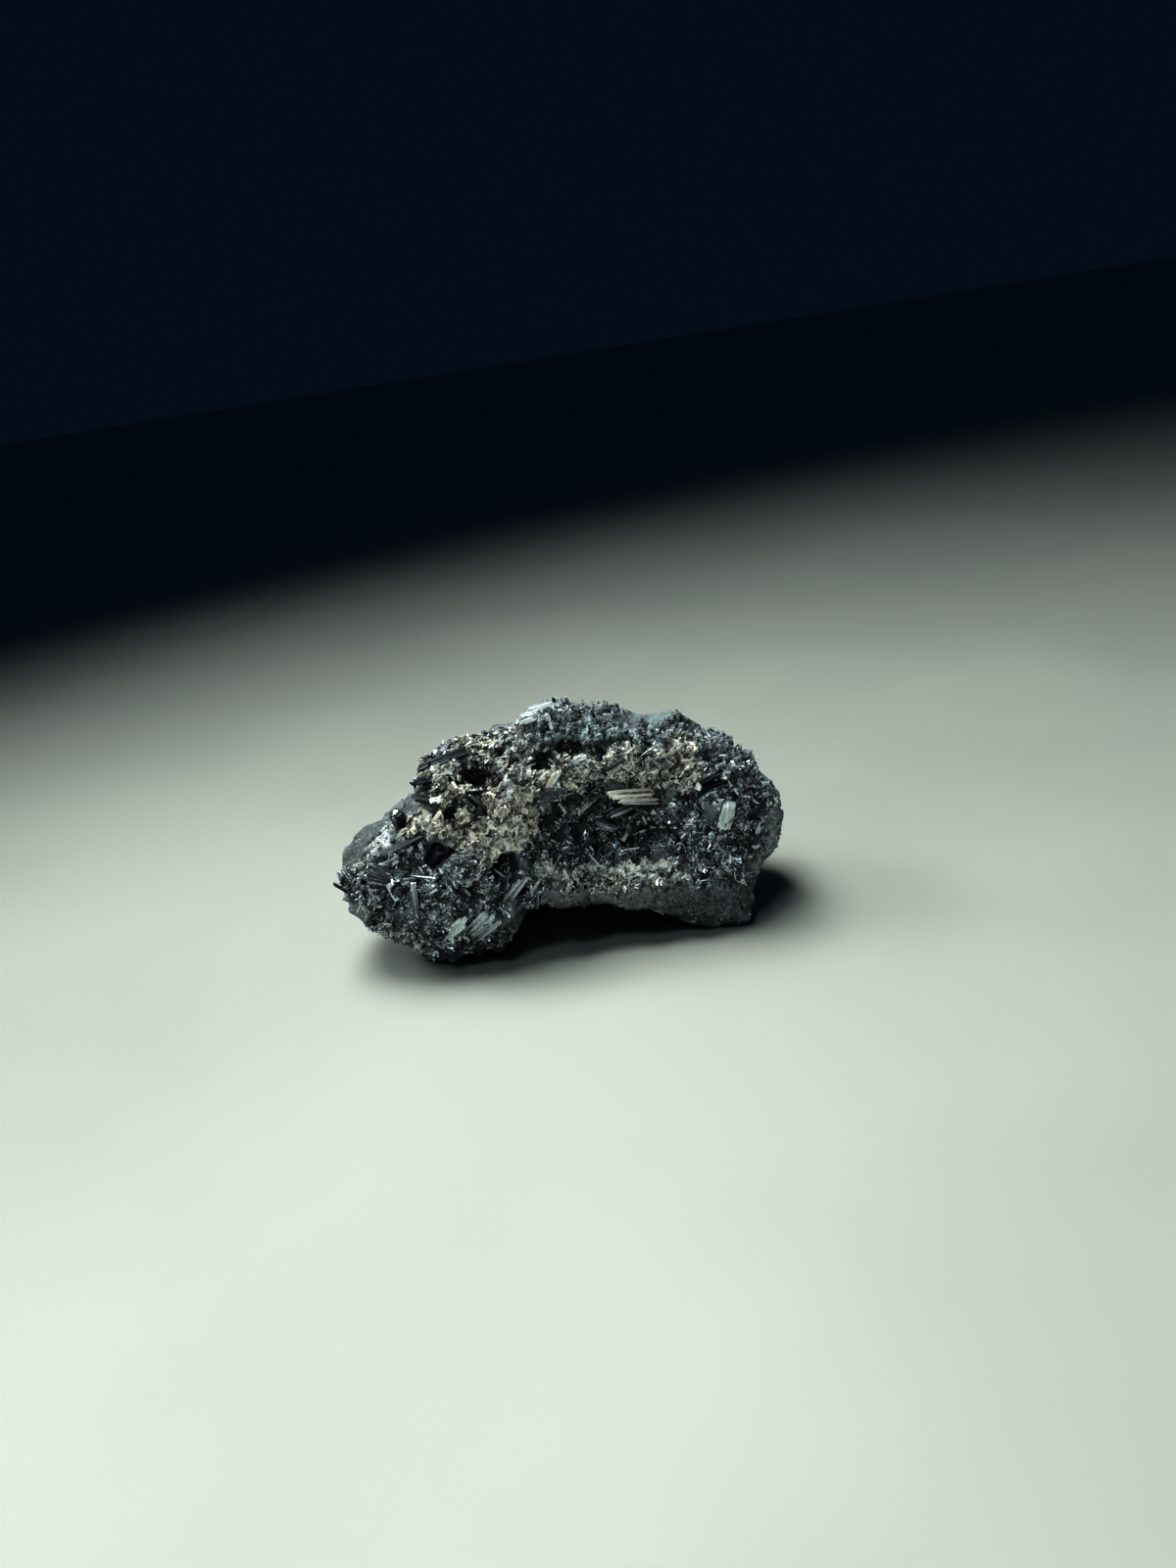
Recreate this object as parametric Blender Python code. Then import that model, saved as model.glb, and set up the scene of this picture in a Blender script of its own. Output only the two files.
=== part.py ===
"""A hand specimen of manganite: a curved slab of manganese oxide with crystals on its hollow front."""

import math

import bmesh
import bpy
from mathutils import Matrix, Vector, noise

MM = 0.001

# Lines that run along the rock from its left end to its right end, in order round it. The skin is
# lofted across them. Millimetres, as (x, y, z).
RAILS = {
    "ridge": (
        (-45.6, -2, 19.6), (-42, 0, 23.6), (-37, 1, 27.6), (-30, 1, 31), (-26.2, 1.5, 32.6), (-23.8, 2, 37),
        (-18, 4, 41), (-5.6, 6, 41.4), (-1.4, 7, 45), (6, 7, 44.8), (13, 7, 43.6), (18.5, 6, 40.8),
        (29, 4, 38.8), (33.6, 2, 36), (36.6, 1, 33.6), (41.4, 0, 28), (45, -1, 19.4),
    ),
    "brow": (
        (-45.6, -3, 19.2), (-42, -5, 22.8), (-37, -6, 26.6), (-26.2, -6.6, 32.4), (-23.8, -6, 37.6),
        (-18, -5, 40.4), (-5.6, -4, 40.4), (-1.4, -3, 43), (13, -3, 42), (18.5, -3, 39.8), (29, -5, 37),
        (36.6, -6, 32.6), (41.4, -5, 27), (45, -2.4, 19),
    ),
    "lip": (
        (-45.6, -4, 18.2), (-42, -8.7, 20.4), (-37, -11.2, 23.8), (-26.2, -13, 29.4), (-23.8, -13.2, 34.4),
        (-18, -12.8, 36), (-5.6, -12.8, 35), (6, -12.6, 34), (18.5, -12, 34.4), (29, -12.4, 32.6),
        (36.6, -12, 28.6), (41.4, -8.7, 23.8), (45, -3.6, 18),
    ),
    "vug_roof": (
        (-45.6, -4.8, 17), (-42, -10.7, 17.5), (-37, -13.6, 20), (-26.2, -16, 24), (-23.8, -15, 27.4),
        (-12.2, -16, 29), (-5.6, -12.4, 29), (-1.4, -6, 29.4), (6, -1.6, 29), (13, -2, 29), (18.5, -5, 28.6),
        (24, -11, 27), (29, -14.2, 25.4), (36.6, -13.8, 22.6), (41.4, -10.2, 20.4), (45, -4.3, 16.5),
    ),
    "vug_floor": (
        (-45.6, -5.2, 15), (-42, -11.6, 15), (-37, -15.2, 16), (-26.2, -17.4, 18), (-14.6, -17.2, 21),
        (-5.6, -11.4, 21), (-1.4, -5, 20), (6, 0.4, 18.4), (13, 0, 18), (18.5, -3.6, 18.4), (24, -11, 19.4),
        (29, -15.4, 18.6), (36.6, -14.2, 17.4), (41.4, -10.7, 17), (45, -4.6, 15),
    ),
    "shelf": (
        (-45.6, -5, 13), (-42, -11.6, 12.8), (-37, -15.6, 12.4), (-30, -18, 10.8), (-14.6, -18.6, 14.6),
        (-5.6, -15, 16.4), (-1.4, -12, 15.4), (6, -10, 14), (13, -10.4, 13.4), (24, -16, 13.8),
        (33.6, -16.4, 12.6), (36.6, -14, 13.4), (41.4, -10.6, 14.4), (45, -4.4, 13.6),
    ),
    "rim": (
        (-45.6, -4.4, 12), (-42, -10.8, 11), (-37, -14.8, 9.2), (-30, -17.2, 6.4), (-14.6, -18.7, 8.6),
        (-12.2, -18.6, 11.8), (-5.6, -18.4, 14), (6, -18.2, 12.4), (29, -19.2, 10.4), (33.6, -18.4, 8.6),
        (36.6, -13, 10.2), (41.4, -9.4, 12.2), (45, -3.8, 12.6),
    ),
    "rim_foot": (
        (-45.6, -3.4, 11.4), (-42, -8.5, 9.8), (-37, -12.4, 6.2), (-30, -14.4, 2.2), (-14.6, -16.4, 1.2),
        (-12.2, -16.6, 9), (-5.6, -17.2, 10.8), (6, -17.8, 8.2), (18.5, -18.2, 3.6), (24, -18.8, 1.4),
        (33.6, -18.4, -0.8), (36.6, -11, 8), (41.4, -7.5, 10.8), (45, -3, 11.8),
    ),
    "arch": (
        (-45.6, -2, 11), (-42, -5, 9), (-37, -8, 4.4), (-30, -10, -0.8), (-23.8, -10, -1.7),
        (-14.6, -12, -1.5), (-12.2, -8, 7), (-5.6, -8, 9.2), (6, -8, 9.4), (13, -9, 8),
        (18.5, -10, 4.6), (24, -13, -0.6),
        (33.6, -14.4, -1.2), (36.6, -7, 6), (41.4, -5, 10), (45, -2, 11.4),
    ),
    "heel_front": (
        (-45.6, -0.6, 11.4), (-42, -1, 9), (-37, 0, 4), (-30, 0, 1.6), (-5.6, 5, 0.6), (6, 6, -0.2),
        (18.5, 4, 0.4), (33.6, -6, 1.4), (36.6, 0, 5), (41.4, -1, 9.6), (45, -1, 11.4),
    ),
    "heel_back": (
        (-45.6, 0.4, 12.2), (-42, 3, 9.6), (-37, 8, 4.8), (-30, 12, 2), (-5.6, 18, -0.6), (6, 19, -1),
        (18.5, 18, 0), (29, 12, 1.8), (36.6, 8, 6), (41.4, 3, 10), (45, 0.4, 12),
    ),
    "back_low": (
        (-45.6, 1, 14), (-42, 6, 12), (-37, 12, 9), (-23.8, 20, 7), (-12.2, 24.4, 7.4), (6, 25.6, 7.4),
        (18.5, 24, 8), (29, 18, 8), (36.6, 12.4, 10), (41.4, 6, 12.2), (45, 1.4, 13.4),
    ),
    "back": (
        (-45.6, 0.8, 16), (-42, 6.5, 16.5), (-37, 13, 15.5), (-23.8, 20, 18), (-12.2, 23.2, 20.4),
        (6, 25.6, 22), (18.5, 24, 21), (29, 18, 18), (36.6, 12.4, 17), (41.4, 6.5, 17), (45, 1.4, 15.4),
    ),
    "back_high": (
        (-45.6, -0.4, 18.4), (-42, 4.5, 21.2), (-37, 9, 23.4), (-26.2, 11.6, 27.6), (-23.8, 12, 31),
        (-12.2, 15.2, 33.6), (-1.4, 17, 36.4), (6, 17.4, 36.6), (18.5, 16, 34), (29, 12, 29.4),
        (36.6, 8, 25.4), (41.4, 4.5, 23.4), (45, 0.4, 18),
    ),
}
VOXEL = 0.8
RELIEF = ((9.0, 0.9), (3.4, 0.6))  # size of a lump and how far it stands out, millimetres
MATRIX_TRIANGLES = 6400
GAP = 0.4  # clear space kept between the rock and each crystal set on it

# Hollows pressed into the rock and bosses raised on it: name, centre, radius and depth. A minus sign
# raises a boss.
DENTS = (
    ("beak_cave", (-13.7, -8.6, 36.6), 4.2, 3.2),
    ("top_hole_left", (-1.2, -7.9, 38), 2.8, 3),
    ("top_hole_middle", (4.9, -6.4, 38.8), 3, 3),
    ("top_hole_right", (9.8, -7.9, 37.5), 2, 2),
    ("lobe_cave", (-11.4, -17.2, 20.9), 4.2, 4),
    ("blade_cave", (-26, -14, 25.4), 3.4, 2.6),
    ("foot_cave", (-17.8, -17.8, 17.6), 2.4, 2.2),
    ("right_pocket", (37.6, -12.6, 21.3), 2.8, 1.8),
    ("shoulder_pocket", (33.2, -8.1, 33), 2.8, 1.8),
    ("crest_notch", (22.5, -1.5, 38.8), 4.4, 1.4),
    ("step_hollow", (-8, 2, 41.4), 3.6, 1.6),
    ("beak_boss", (-22, -8, 37.6), 4, -1.6),
    ("shelf_boss", (-18, 1, 40), 4.4, -1.6),
    ("crest_boss", (0, 3, 43.6), 5, -1),
    ("shoulder_boss", (38, -3, 30), 5, -1.2),
    ("tan_ridge", (-9, -14, 29), 6, -1.4),
    ("toe_boss", (33, -16, 3), 3.4, -1),
)

# The laths and blades that stand out of the druse. Each is one growth: its material, then every lath in
# it as (root, tip, width, thickness, which way the flat side looks).
CRYSTALS = {
    "coated_prism": ("coated", (
        ((31.4, -15.2, 21.2), (33.2, -15.8, 26.4), 2.6, 2.2, (0, -1, 0.1)),
    )),
    "ledge_lath": ("coated", (
        ((18.6, -8.6, 27.8), (9.8, -11.6, 30), 2, 1.1, (0.1, -0.5, 0.9)),
        ((20, -9.2, 26), (11.8, -12.2, 28.7), 1.2, 0.9, (0.1, -0.8, 0.6)),
    )),
    "vug_lath_right": ("manganite", (
        ((15.6, -4, 23.8), (9.4, -8.2, 24.1), 1.8, 1, (-0.2, -0.8, 0.5)),
    )),
    "vug_lath_left": ("manganite", (
        ((8.6, -4.4, 26.6), (4, -8.4, 25.4), 1.5, 0.9, (0.2, -0.7, 0.6)),
    )),
    "upper_left_blade": ("manganite", (
        ((-25.8, -12.8, 22.2), (-22.4, -17.4, 27.8), 3, 1.8, (-0.5, -0.8, 0.3)),
        ((-23.4, -13.4, 22.6), (-20.6, -17.2, 26.8), 2.4, 1.6, (0.5, -0.8, 0.3)),
    )),
    "left_lath": ("manganite", (
        ((-29.5, -17.2, 14), (-28.7, -18.4, 21.6), 1.4, 1.1, (-0.1, -1, 0.2)),
    )),
    "beak_blades": ("manganite", (
        ((-16.4, -8.4, 36.4), (-26, -11, 38.9), 2.4, 0.8, (-0.4, -0.5, 0.8)),
        ((-17.4, -9, 34.8), (-25.4, -12, 37.6), 2.2, 0.8, (-0.4, -0.8, 0.5)),
        ((-19.4, -9.8, 32.6), (-26.8, -11, 36.2), 2, 0.8, (-0.5, -0.8, 0.3)),
    )),
    "beak_long_blade": ("manganite", (
        ((-15.4, -3.6, 40.6), (-25.2, -8.6, 40), 2, 0.8, (-0.4, -0.8, 0.4)),
    )),
    "crest_laths": ("coated", (
        ((4.4, 1.2, 45.4), (-4.2, 0.2, 44.2), 1.1, 0.9, (-0.2, -0.7, 0.7)),
        ((3, 0, 44.4), (-5, -1, 43.2), 1.1, 0.9, (-0.2, -0.8, 0.6)),
        ((2.6, 1.8, 45.8), (-2.6, 1, 45.2), 1, 0.8, (-0.2, -0.6, 0.8)),
    )),
    "left_fan": ("manganite", (
        ((-31.6, -14.6, 20), (-38, -14.6, 24), 1.7, 0.9, (-0.3, -0.8, 0.5)),
        ((-31.4, -14.4, 20.2), (-37, -13.8, 24.8), 1.6, 0.9, (-0.3, -0.7, 0.7)),
        ((-31.8, -14.8, 19.8), (-38.4, -15.2, 22.6), 1.7, 0.9, (-0.2, -0.9, 0.3)),
    )),
    "glossy_blades": ("manganite", (
        ((-20.2, -17.4, 7.4), (-14.2, -20.2, 13), 1.5, 1, (0.3, -0.9, 0.3)),
        ((-20.8, -17.4, 8.4), (-15.4, -20.4, 14.2), 1.5, 1, (0.1, -0.8, 0.5)),
        ((-19.6, -17.2, 6.6), (-13.4, -19.8, 11.6), 1.4, 1, (0.4, -0.9, 0.1)),
    )),
    "low_blades": ("manganite", (
        ((-25.4, -17, 8.4), (-19.8, -20.2, 13.4), 1.5, 1, (0.2, -0.9, 0.3)),
        ((-25.2, -17, 7.6), (-20.4, -20, 11.8), 1.4, 1, (0.4, -0.9, 0.1)),
    )),
    "dark_prism": ("manganite", (
        ((27.4, -12.2, 28), (33.4, -15, 30.4), 1.8, 1.6, (0, -0.9, 0.5)),
        ((27, -12.4, 29.4), (32.6, -14.6, 32.6), 1, 0.9, (-0.2, -0.8, 0.6)),
    )),
    "right_lath": ("coated", (
        ((30.8, -13.2, 21.4), (26.2, -15, 26.8), 1.1, 0.8, (-0.3, -0.9, 0.1)),
    )),
    "pale_pair": ("coated", (
        ((-0.2, -10.4, 33.2), (2.4, -12.7, 37.2), 0.8, 0.7, (0.3, -0.8, 0.5)),
        ((-0.9, -10.4, 33.2), (1.5, -12.8, 37), 0.7, 0.7, (0.1, -0.8, 0.5)),
    )),
    "flank_block": ("manganite", (
        ((-30.4, -6, 27.6), (-30.7, -8.6, 32.4), 3, 2.4, (-0.6, -0.7, 0.2)),
    )),
    "lobe_prism": ("manganite", (
        ((-33.2, -14.6, 17.2), (-32, -18.6, 21.2), 1.9, 1.7, (-0.6, -0.8, 0)),
        ((-32.4, -14.8, 16.8), (-31, -18.4, 20.4), 1.7, 1.5, (0.6, -0.8, 0)),
    )),
    "pale_blade": ("coated", (
        ((-12.4, -16.8, 13.2), (-7.2, -18.6, 19.4), 1.7, 0.8, (0.4, -0.9, 0.1)),
    )),
    "flank_plate": ("manganite", (
        ((-24.2, -12, 29), (-36.4, -12.8, 25), 2.8, 0.5, (-0.3, 0, 0.95)),
    )),
    "ridge_blades": ("manganite", (
        ((-13.2, -14, 30.8), (-16.8, -14.8, 36.6), 1.5, 1, (0, -0.9, 0.5)),
        ((-12.4, -14.2, 31.2), (-15.8, -15, 36.2), 1.4, 1, (0.2, -0.9, 0.4)),
    )),
    "vug_lath_low": ("coated", (
        ((-4.2, -10.6, 15.6), (-3.2, -13.4, 21.6), 1.3, 0.9, (0.6, -0.8, 0.1)),
    )),
}

# Colour, how metallic and how rough, for the rock and the two kinds of crystal.
MATERIALS = {
    "rock": ((0.045, 0.045, 0.043), 0.0, 0.75),
    "manganite": ((0.06, 0.062, 0.066), 0.7, 0.32),
    "coated": ((0.36, 0.37, 0.33), 0.0, 0.55),
}


def clear_scene():
    for thing in list(bpy.data.objects):
        bpy.data.objects.remove(thing)


def material(name, kind):
    colour, metallic, roughness = MATERIALS[kind]
    made = bpy.data.materials.new(name)
    made.use_nodes = True
    shader = made.node_tree.nodes["Principled BSDF"]
    shader.inputs["Base Color"].default_value = (*colour, 1)
    shader.inputs["Metallic"].default_value = metallic
    shader.inputs["Roughness"].default_value = roughness
    return made


def object_from(name, bm):
    bmesh.ops.recalc_face_normals(bm, faces=bm.faces)
    mesh = bpy.data.meshes.new(name)
    bm.to_mesh(mesh)
    bm.free()
    made = bpy.data.objects.new(name, mesh)
    bpy.context.scene.collection.objects.link(made)
    return made


def helper(thing):
    thing.hide_render = True
    thing.display_type = "WIRE"
    return thing


def apply_modifiers(thing):
    graph = bpy.context.evaluated_depsgraph_get()
    mesh = bpy.data.meshes.new_from_object(thing.evaluated_get(graph))
    thing.modifiers.clear()
    thing.data = mesh


def boolean(thing, other, operation):
    made = thing.modifiers.new(other.name, "BOOLEAN")
    made.object = other
    made.operation = operation
    made.solver = "EXACT"


def even_out(thing, voxel):
    made = thing.modifiers.new("even", "REMESH")
    made.mode = "VOXEL"
    made.voxel_size = voxel * MM


def point_on(rail, x):
    """Where the rail crosses this distance along the rock."""
    for one, two in zip(rail, rail[1:]):
        if x <= two[0]:
            share = (x - one[0]) / (two[0] - one[0])
            return Vector(one).lerp(Vector(two), share)
    return Vector(rail[-1])


def loft(name, rails):
    """A closed skin through the rails, with a ring wherever any rail has a point."""
    stations = sorted({point[0] for rail in rails for point in rail})
    bm = bmesh.new()
    rings = [[bm.verts.new(point_on(rail, x) * MM) for rail in rails] for x in stations]
    for one, two in zip(rings, rings[1:]):
        for k in range(len(one)):
            n = (k + 1) % len(one)
            bm.faces.new((one[k], one[n], two[n], two[k]))
    bm.faces.new(rings[0])
    bm.faces.new(rings[-1])
    return object_from(name, bm)


def lump(mesh):
    """Moves each point along its normal by smooth noise of two sizes, and presses in the dents."""
    moved = []
    for vert in mesh.vertices:
        push = sum(2 * amount * noise.noise(vert.co / (size * MM)) for size, amount in RELIEF)
        for _, centre, radius, depth in DENTS:
            away = (vert.co - Vector(centre) * MM).length / (radius * MM)
            if away < 1.6:
                push -= depth * math.exp(-2 * away * away)
        moved.append(vert.co + vert.normal * push * MM)
    for vert, where in zip(mesh.vertices, moved):
        vert.co = where


def build_matrix():
    rock = loft("matrix", list(RAILS.values()))
    sub = rock.modifiers.new("round", "SUBSURF")
    sub.levels = sub.render_levels = 3
    even_out(rock, VOXEL)
    apply_modifiers(rock)
    lump(rock.data)
    even_out(rock, VOXEL)
    apply_modifiers(rock)
    rock.data.calc_loop_triangles()
    thin = rock.modifiers.new("thin", "DECIMATE")
    thin.ratio = MATRIX_TRIANGLES / len(rock.data.loop_triangles)
    apply_modifiers(rock)
    bm = bmesh.new()
    below = Matrix.LocRotScale(Vector((0, 0, -10)) * MM, None, Vector((140, 90, 20)) * MM)
    bmesh.ops.create_cube(bm, size=1, matrix=below)
    floor = helper(object_from("floor_cut", bm))
    boolean(rock, floor, "DIFFERENCE")
    apply_modifiers(rock)
    return rock


def swollen(rock):
    """A copy of the rock grown by the gap, which trims the crystals to the surface they stand on."""
    grown = helper(rock.copy())
    grown.data = rock.data.copy()
    grown.name = "matrix_grown"
    bpy.context.scene.collection.objects.link(grown)
    for vert, normal in zip(grown.data.vertices, [v.normal.copy() for v in grown.data.vertices]):
        vert.co += normal * GAP * MM
    even_out(grown, 0.7)
    thin = grown.modifiers.new("thin", "DECIMATE")
    thin.ratio = 0.3
    apply_modifiers(grown)
    return grown


def lath(name, root, tip, width, thick, looks):
    """A flattened six-sided prism with a chisel end."""
    root, tip = Vector(root) * MM, Vector(tip) * MM
    along = (tip - root).normalized()
    side = along.cross(Vector(looks)).normalized()
    out = side.cross(along)
    w, t = width * MM / 2, thick * MM / 2
    outline = ((-w, 0), (-0.55 * w, t), (0.55 * w, t), (w, 0), (0.55 * w, -t), (-0.55 * w, -t))
    slope = min(width * 0.45 * MM, (tip - root).length * 0.3)
    bm = bmesh.new()
    low = [bm.verts.new(root + side * a + out * b) for a, b in outline]
    high = [bm.verts.new(tip - along * slope + side * a + out * b) for a, b in outline]
    ends = [bm.verts.new(tip - side * 0.5 * w - along * 0.3 * slope), bm.verts.new(tip + side * 0.45 * w)]
    bm.faces.new(low)
    for k in range(6):
        n = (k + 1) % 6
        bm.faces.new((low[k], low[n], high[n], high[k]))
    bm.faces.new((high[0], high[1], ends[0]))
    bm.faces.new((high[1], high[2], ends[1], ends[0]))
    bm.faces.new((high[2], high[3], ends[1]))
    bm.faces.new((high[3], high[4], ends[1]))
    bm.faces.new((high[4], high[5], ends[0], ends[1]))
    bm.faces.new((high[5], high[0], ends[0]))
    return object_from(name, bm)


def keep_biggest(thing):
    """Drops the offcuts that the trimming leaves."""
    bm = bmesh.new()
    bm.from_mesh(thing.data)
    bm.verts.ensure_lookup_table()
    seen, pieces = set(), []
    for start in bm.verts:
        if start.index in seen:
            continue
        piece, todo = [], [start]
        seen.add(start.index)
        while todo:
            vert = todo.pop()
            piece.append(vert)
            for edge in vert.link_edges:
                other = edge.other_vert(vert)
                if other.index not in seen:
                    seen.add(other.index)
                    todo.append(other)
        pieces.append(piece)
    sizes = [max((a.co - p[0].co).length for a in p) for p in pieces]
    best = sizes.index(max(sizes))
    offcuts = [v for n, p in enumerate(pieces) if n != best for v in p]
    bmesh.ops.delete(bm, geom=offcuts, context="VERTS")
    bm.to_mesh(thing.data)
    bm.free()


def build_crystal(name, laths, grown):
    made = lath(name, *laths[0])
    others = [helper(lath(f"{name}_{n}", *given)) for n, given in enumerate(laths[1:], 2)]
    for other in others:
        boolean(made, other, "UNION")
    boolean(made, grown, "DIFFERENCE")
    apply_modifiers(made)
    for other in others:
        bpy.data.objects.remove(other)
    keep_biggest(made)
    return made


def centre(things):
    """Moves everything so that the origin lies under the middle of the whole specimen."""
    corners = [vert.co for thing in things for vert in thing.data.vertices]
    middle = [(min(c[k] for c in corners) + max(c[k] for c in corners)) / 2 for k in range(2)]
    for thing in things:
        thing.data.transform(Matrix.Translation((-middle[0], -middle[1], 0)))


def main():
    clear_scene()
    rock = build_matrix()
    rock.data.materials.append(material("manganese_oxide_rock", "rock"))
    grown = swollen(rock)
    for name, (kind, laths) in CRYSTALS.items():
        made = build_crystal(name, laths, grown)
        made.data.materials.clear()
        made.data.materials.append(material(f"{name}_{kind}", kind))
    bpy.data.objects.remove(grown)
    bpy.data.objects.remove(bpy.data.objects["floor_cut"])
    centre(list(bpy.data.objects))


if __name__ == "__main__":
    main()
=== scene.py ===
"""A hand specimen of manganite on a pale floor: its rock, the crystals that stand out, and its druse."""

import math

import bpy
import numpy as np
from bpy.props import FloatProperty, FloatVectorProperty, IntProperty
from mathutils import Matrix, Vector, noise


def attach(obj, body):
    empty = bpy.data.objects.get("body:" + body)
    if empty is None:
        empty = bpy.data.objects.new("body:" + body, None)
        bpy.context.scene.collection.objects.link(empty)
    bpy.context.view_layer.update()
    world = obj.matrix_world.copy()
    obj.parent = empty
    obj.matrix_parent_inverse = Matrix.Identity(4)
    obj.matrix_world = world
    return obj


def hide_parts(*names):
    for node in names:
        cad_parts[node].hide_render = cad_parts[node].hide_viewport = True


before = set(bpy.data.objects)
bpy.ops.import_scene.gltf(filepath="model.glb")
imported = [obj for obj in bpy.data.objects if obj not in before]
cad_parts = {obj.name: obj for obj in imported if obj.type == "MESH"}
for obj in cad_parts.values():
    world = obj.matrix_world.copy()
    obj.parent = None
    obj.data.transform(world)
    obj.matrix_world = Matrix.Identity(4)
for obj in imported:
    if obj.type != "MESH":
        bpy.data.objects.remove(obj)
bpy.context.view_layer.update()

bl_info = {
    "name": "Manganite Specimen",
    "version": (1, 0, 0),
    "blender": (4, 5, 0),
    "location": "View3D > Sidebar > Manganite",
    "description": "Grows a druse of manganite on a rock and sets it on a plain floor",
    "category": "Object",
}

MM = 0.001
ROCK = "manganite_rock"
# Unless it is given a seed, the noise starts from the clock and every run gives another rock.
NOISE_SEED = 5
# Points of the rock below this are its feet, and stay where they are.
FOOT_HEIGHT = 0.3 * MM

# Where each kind of ground lies on the rock: dabs as (x, y, z, radius), in millimetres.
ZONES = {
    "lobe": (
        (-42, -12, 18, 4), (-38, -15, 19, 5), (-33, -17, 19, 6), (-27, -19, 19, 6), (-21, -20, 18, 6),
        (-16, -20, 14, 5), (-28, -20, 12, 5), (-21, -20, 11, 5), (-11, -18, 18, 4), (-37, -16, 14, 4),
        (-18, -19, 22, 4), (-8, -18, 15, 4), (-30, -14, 23.5, 4), (-27, -14, 25.5, 3.6),
    ),
    "lobe_foot": (
        (-37, -16, 9, 4), (-34, -17, 10, 5), (-30, -18, 6, 5), (-23, -19, 6, 5), (-17, -20, 6, 5),
    ),
    "under_lobe": ((-20, -19, 4.4, 5), (-16, -19.4, 4.6, 4.6), (-24.6, -17.8, 2.6, 5)),
    "flank": (
        (-43, -8, 21, 4.4), (-40.6, -5.5, 24.6, 4.4), (-37, -4, 27, 4.4), (-33, -2.6, 29, 4.4),
        (-28, -5.9, 31.3, 3.6), (-26, -2, 33, 4), (-30, 0, 32, 4),
    ),
    "sugar": (
        (-39, -12, 21.5, 4), (-36.4, -13.6, 24, 4), (-33.6, -10.6, 27.4, 4), (-29.4, -12.4, 28.8, 4),
        (-36, -10.4, 25.6, 3.6), (-36, -17.6, 11.6, 4), (-38.8, -15.4, 14, 3.4), (-33.6, -17.8, 8.8, 4),
    ),
    "slope_behind": ((-20, -1, 37, 5), (-12, 0, 40, 5), (-6, -1, 41, 4), (-24, -5, 35, 4)),
    "beak": (
        (-24, -11, 38, 4), (-20, -7, 40, 5), (-14, -2, 40, 5), (-21, -13, 36, 4), (-12, -5, 39, 4),
    ),
    "shards": (
        (-19, -14, 35, 5), (-15, -12, 35, 5), (-11, -11, 36, 5), (-17, -16, 32, 4), (-21, -15, 32, 3),
    ),
    "tan_ridge": (
        (-26, -14, 30, 4), (-21, -16, 32, 5), (-16, -17, 30, 6), (-11, -17, 31, 6), (-7, -16, 29, 6),
        (-5, -15, 33, 4), (-15, -19, 25, 5),
    ),
    "lime_patch": ((-11, -18.5, 27, 3.4), (-8.4, -17.8, 24, 3)),
    "crest": (
        (-4, -3, 43, 4), (1, -3, 45, 5), (7, 0, 43, 5), (13, 0, 42.6, 4), (29, -3, 38, 4), (32, -4, 35, 5),
        (36, -7, 32, 5), (38, -6, 29, 4), (2, 2, 45, 5), (-3, 1, 43.5, 4), (25, -3.6, 38, 3.4),
        (21, -3.6, 38.6, 3), (-1, -7.4, 40.8, 3.2), (-5, -5, 41.4, 3.4),
    ),
    "blue": ((6, -6, 42, 4), (10, -8, 40.6, 4), (15, -8, 39, 4), (19.5, -8, 37.6, 4), (-28.4, -6, 31.2, 2.6)),
    "notch": ((19.6, 1.4, 38.9, 3.2), (23, 1.2, 38.3, 3.2)),
    "boxwork": (
        (-5, -9, 38, 4), (-3, -12, 35, 4), (2, -11, 36, 5), (7, -10, 35, 5), (12, -12, 35, 5),
        (17, -11, 35, 5), (22, -12, 33, 5), (26, -13, 32, 5), (26, -9, 35.5, 4), (17, -12, 31, 4),
        (4, -10, 32, 4), (18, -9, 28, 5),
    ),
    "vug": (
        (-3, -11, 22, 5), (1, -7, 25, 6), (5, -5, 21, 7), (10, -4, 20, 7), (14, -5, 20, 6), (8, -8, 16, 6),
        (14, -8, 16, 6), (18, -9, 19, 5), (0, -11, 18, 5), (20, -11, 22, 4), (6, -6, 27, 5), (-6, -14, 21, 4),
    ),
    "vug_lip": (
        (-4, -16, 16, 3), (0, -17, 15, 3.6), (5, -16, 14, 4), (9, -16, 13.6, 4), (14, -16, 13.6, 4),
        (19, -18, 13.4, 4), (23, -18, 14, 3),
    ),
    "right_field": (
        (22, -13, 20, 5), (24, -15, 17, 4), (28, -17, 17, 5), (32, -17, 18, 5), (36, -16, 16, 5),
        (33, -19, 13, 4), (26, -18, 13, 4), (25, -15, 25, 4),
    ),
    "right_top": ((32, -15, 29, 5), (36, -14, 28, 5), (39, -11, 26, 5), (36, -15, 22, 5), (40, -13, 21, 4)),
    "rim": ((-1, -20, 13, 4), (4, -19.6, 12, 4), (8, -19, 12, 4), (12, -20, 11, 4), (16, -21, 10, 4)),
    "right_foot": ((21, -20, 8, 5), (26, -21, 6, 6), (31, -20, 5, 6), (33, -19, 8, 5)),
    "back_pockets": (
        (-18, 15.3, 24, 4), (-14, 15, 27.6, 4), (21, 18.2, 16, 5), (26, 15, 19, 4), (6, 16.8, 31, 3.4),
        (37, 5.6, 22, 4), (-32, 12, 13, 4),
    ),
    "right_end": ((37, -17, 12, 4), (40, -13, 14, 4), (42, -11.5, 16, 5)),
}
# Next to nothing grows here.
BARE_ZONES = ("notch",)
# Massive, even rock that has not broken up into clumps.
SMOOTH_ZONES = ("flank", "rim", "right_foot", "right_end", "notch")
# Painted shade: the rock, and what grows on it, is a little darker here, low over the floor and under the
# lobe.
PAINTED_SHADE_ZONES = ("rim", "right_foot", "under_lobe")
# Painted shade: the rock that shows between the crystals is painted nearly black here.
DARK_ZONES = ("vug", "lobe", "right_field", "beak", "under_lobe")
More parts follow.
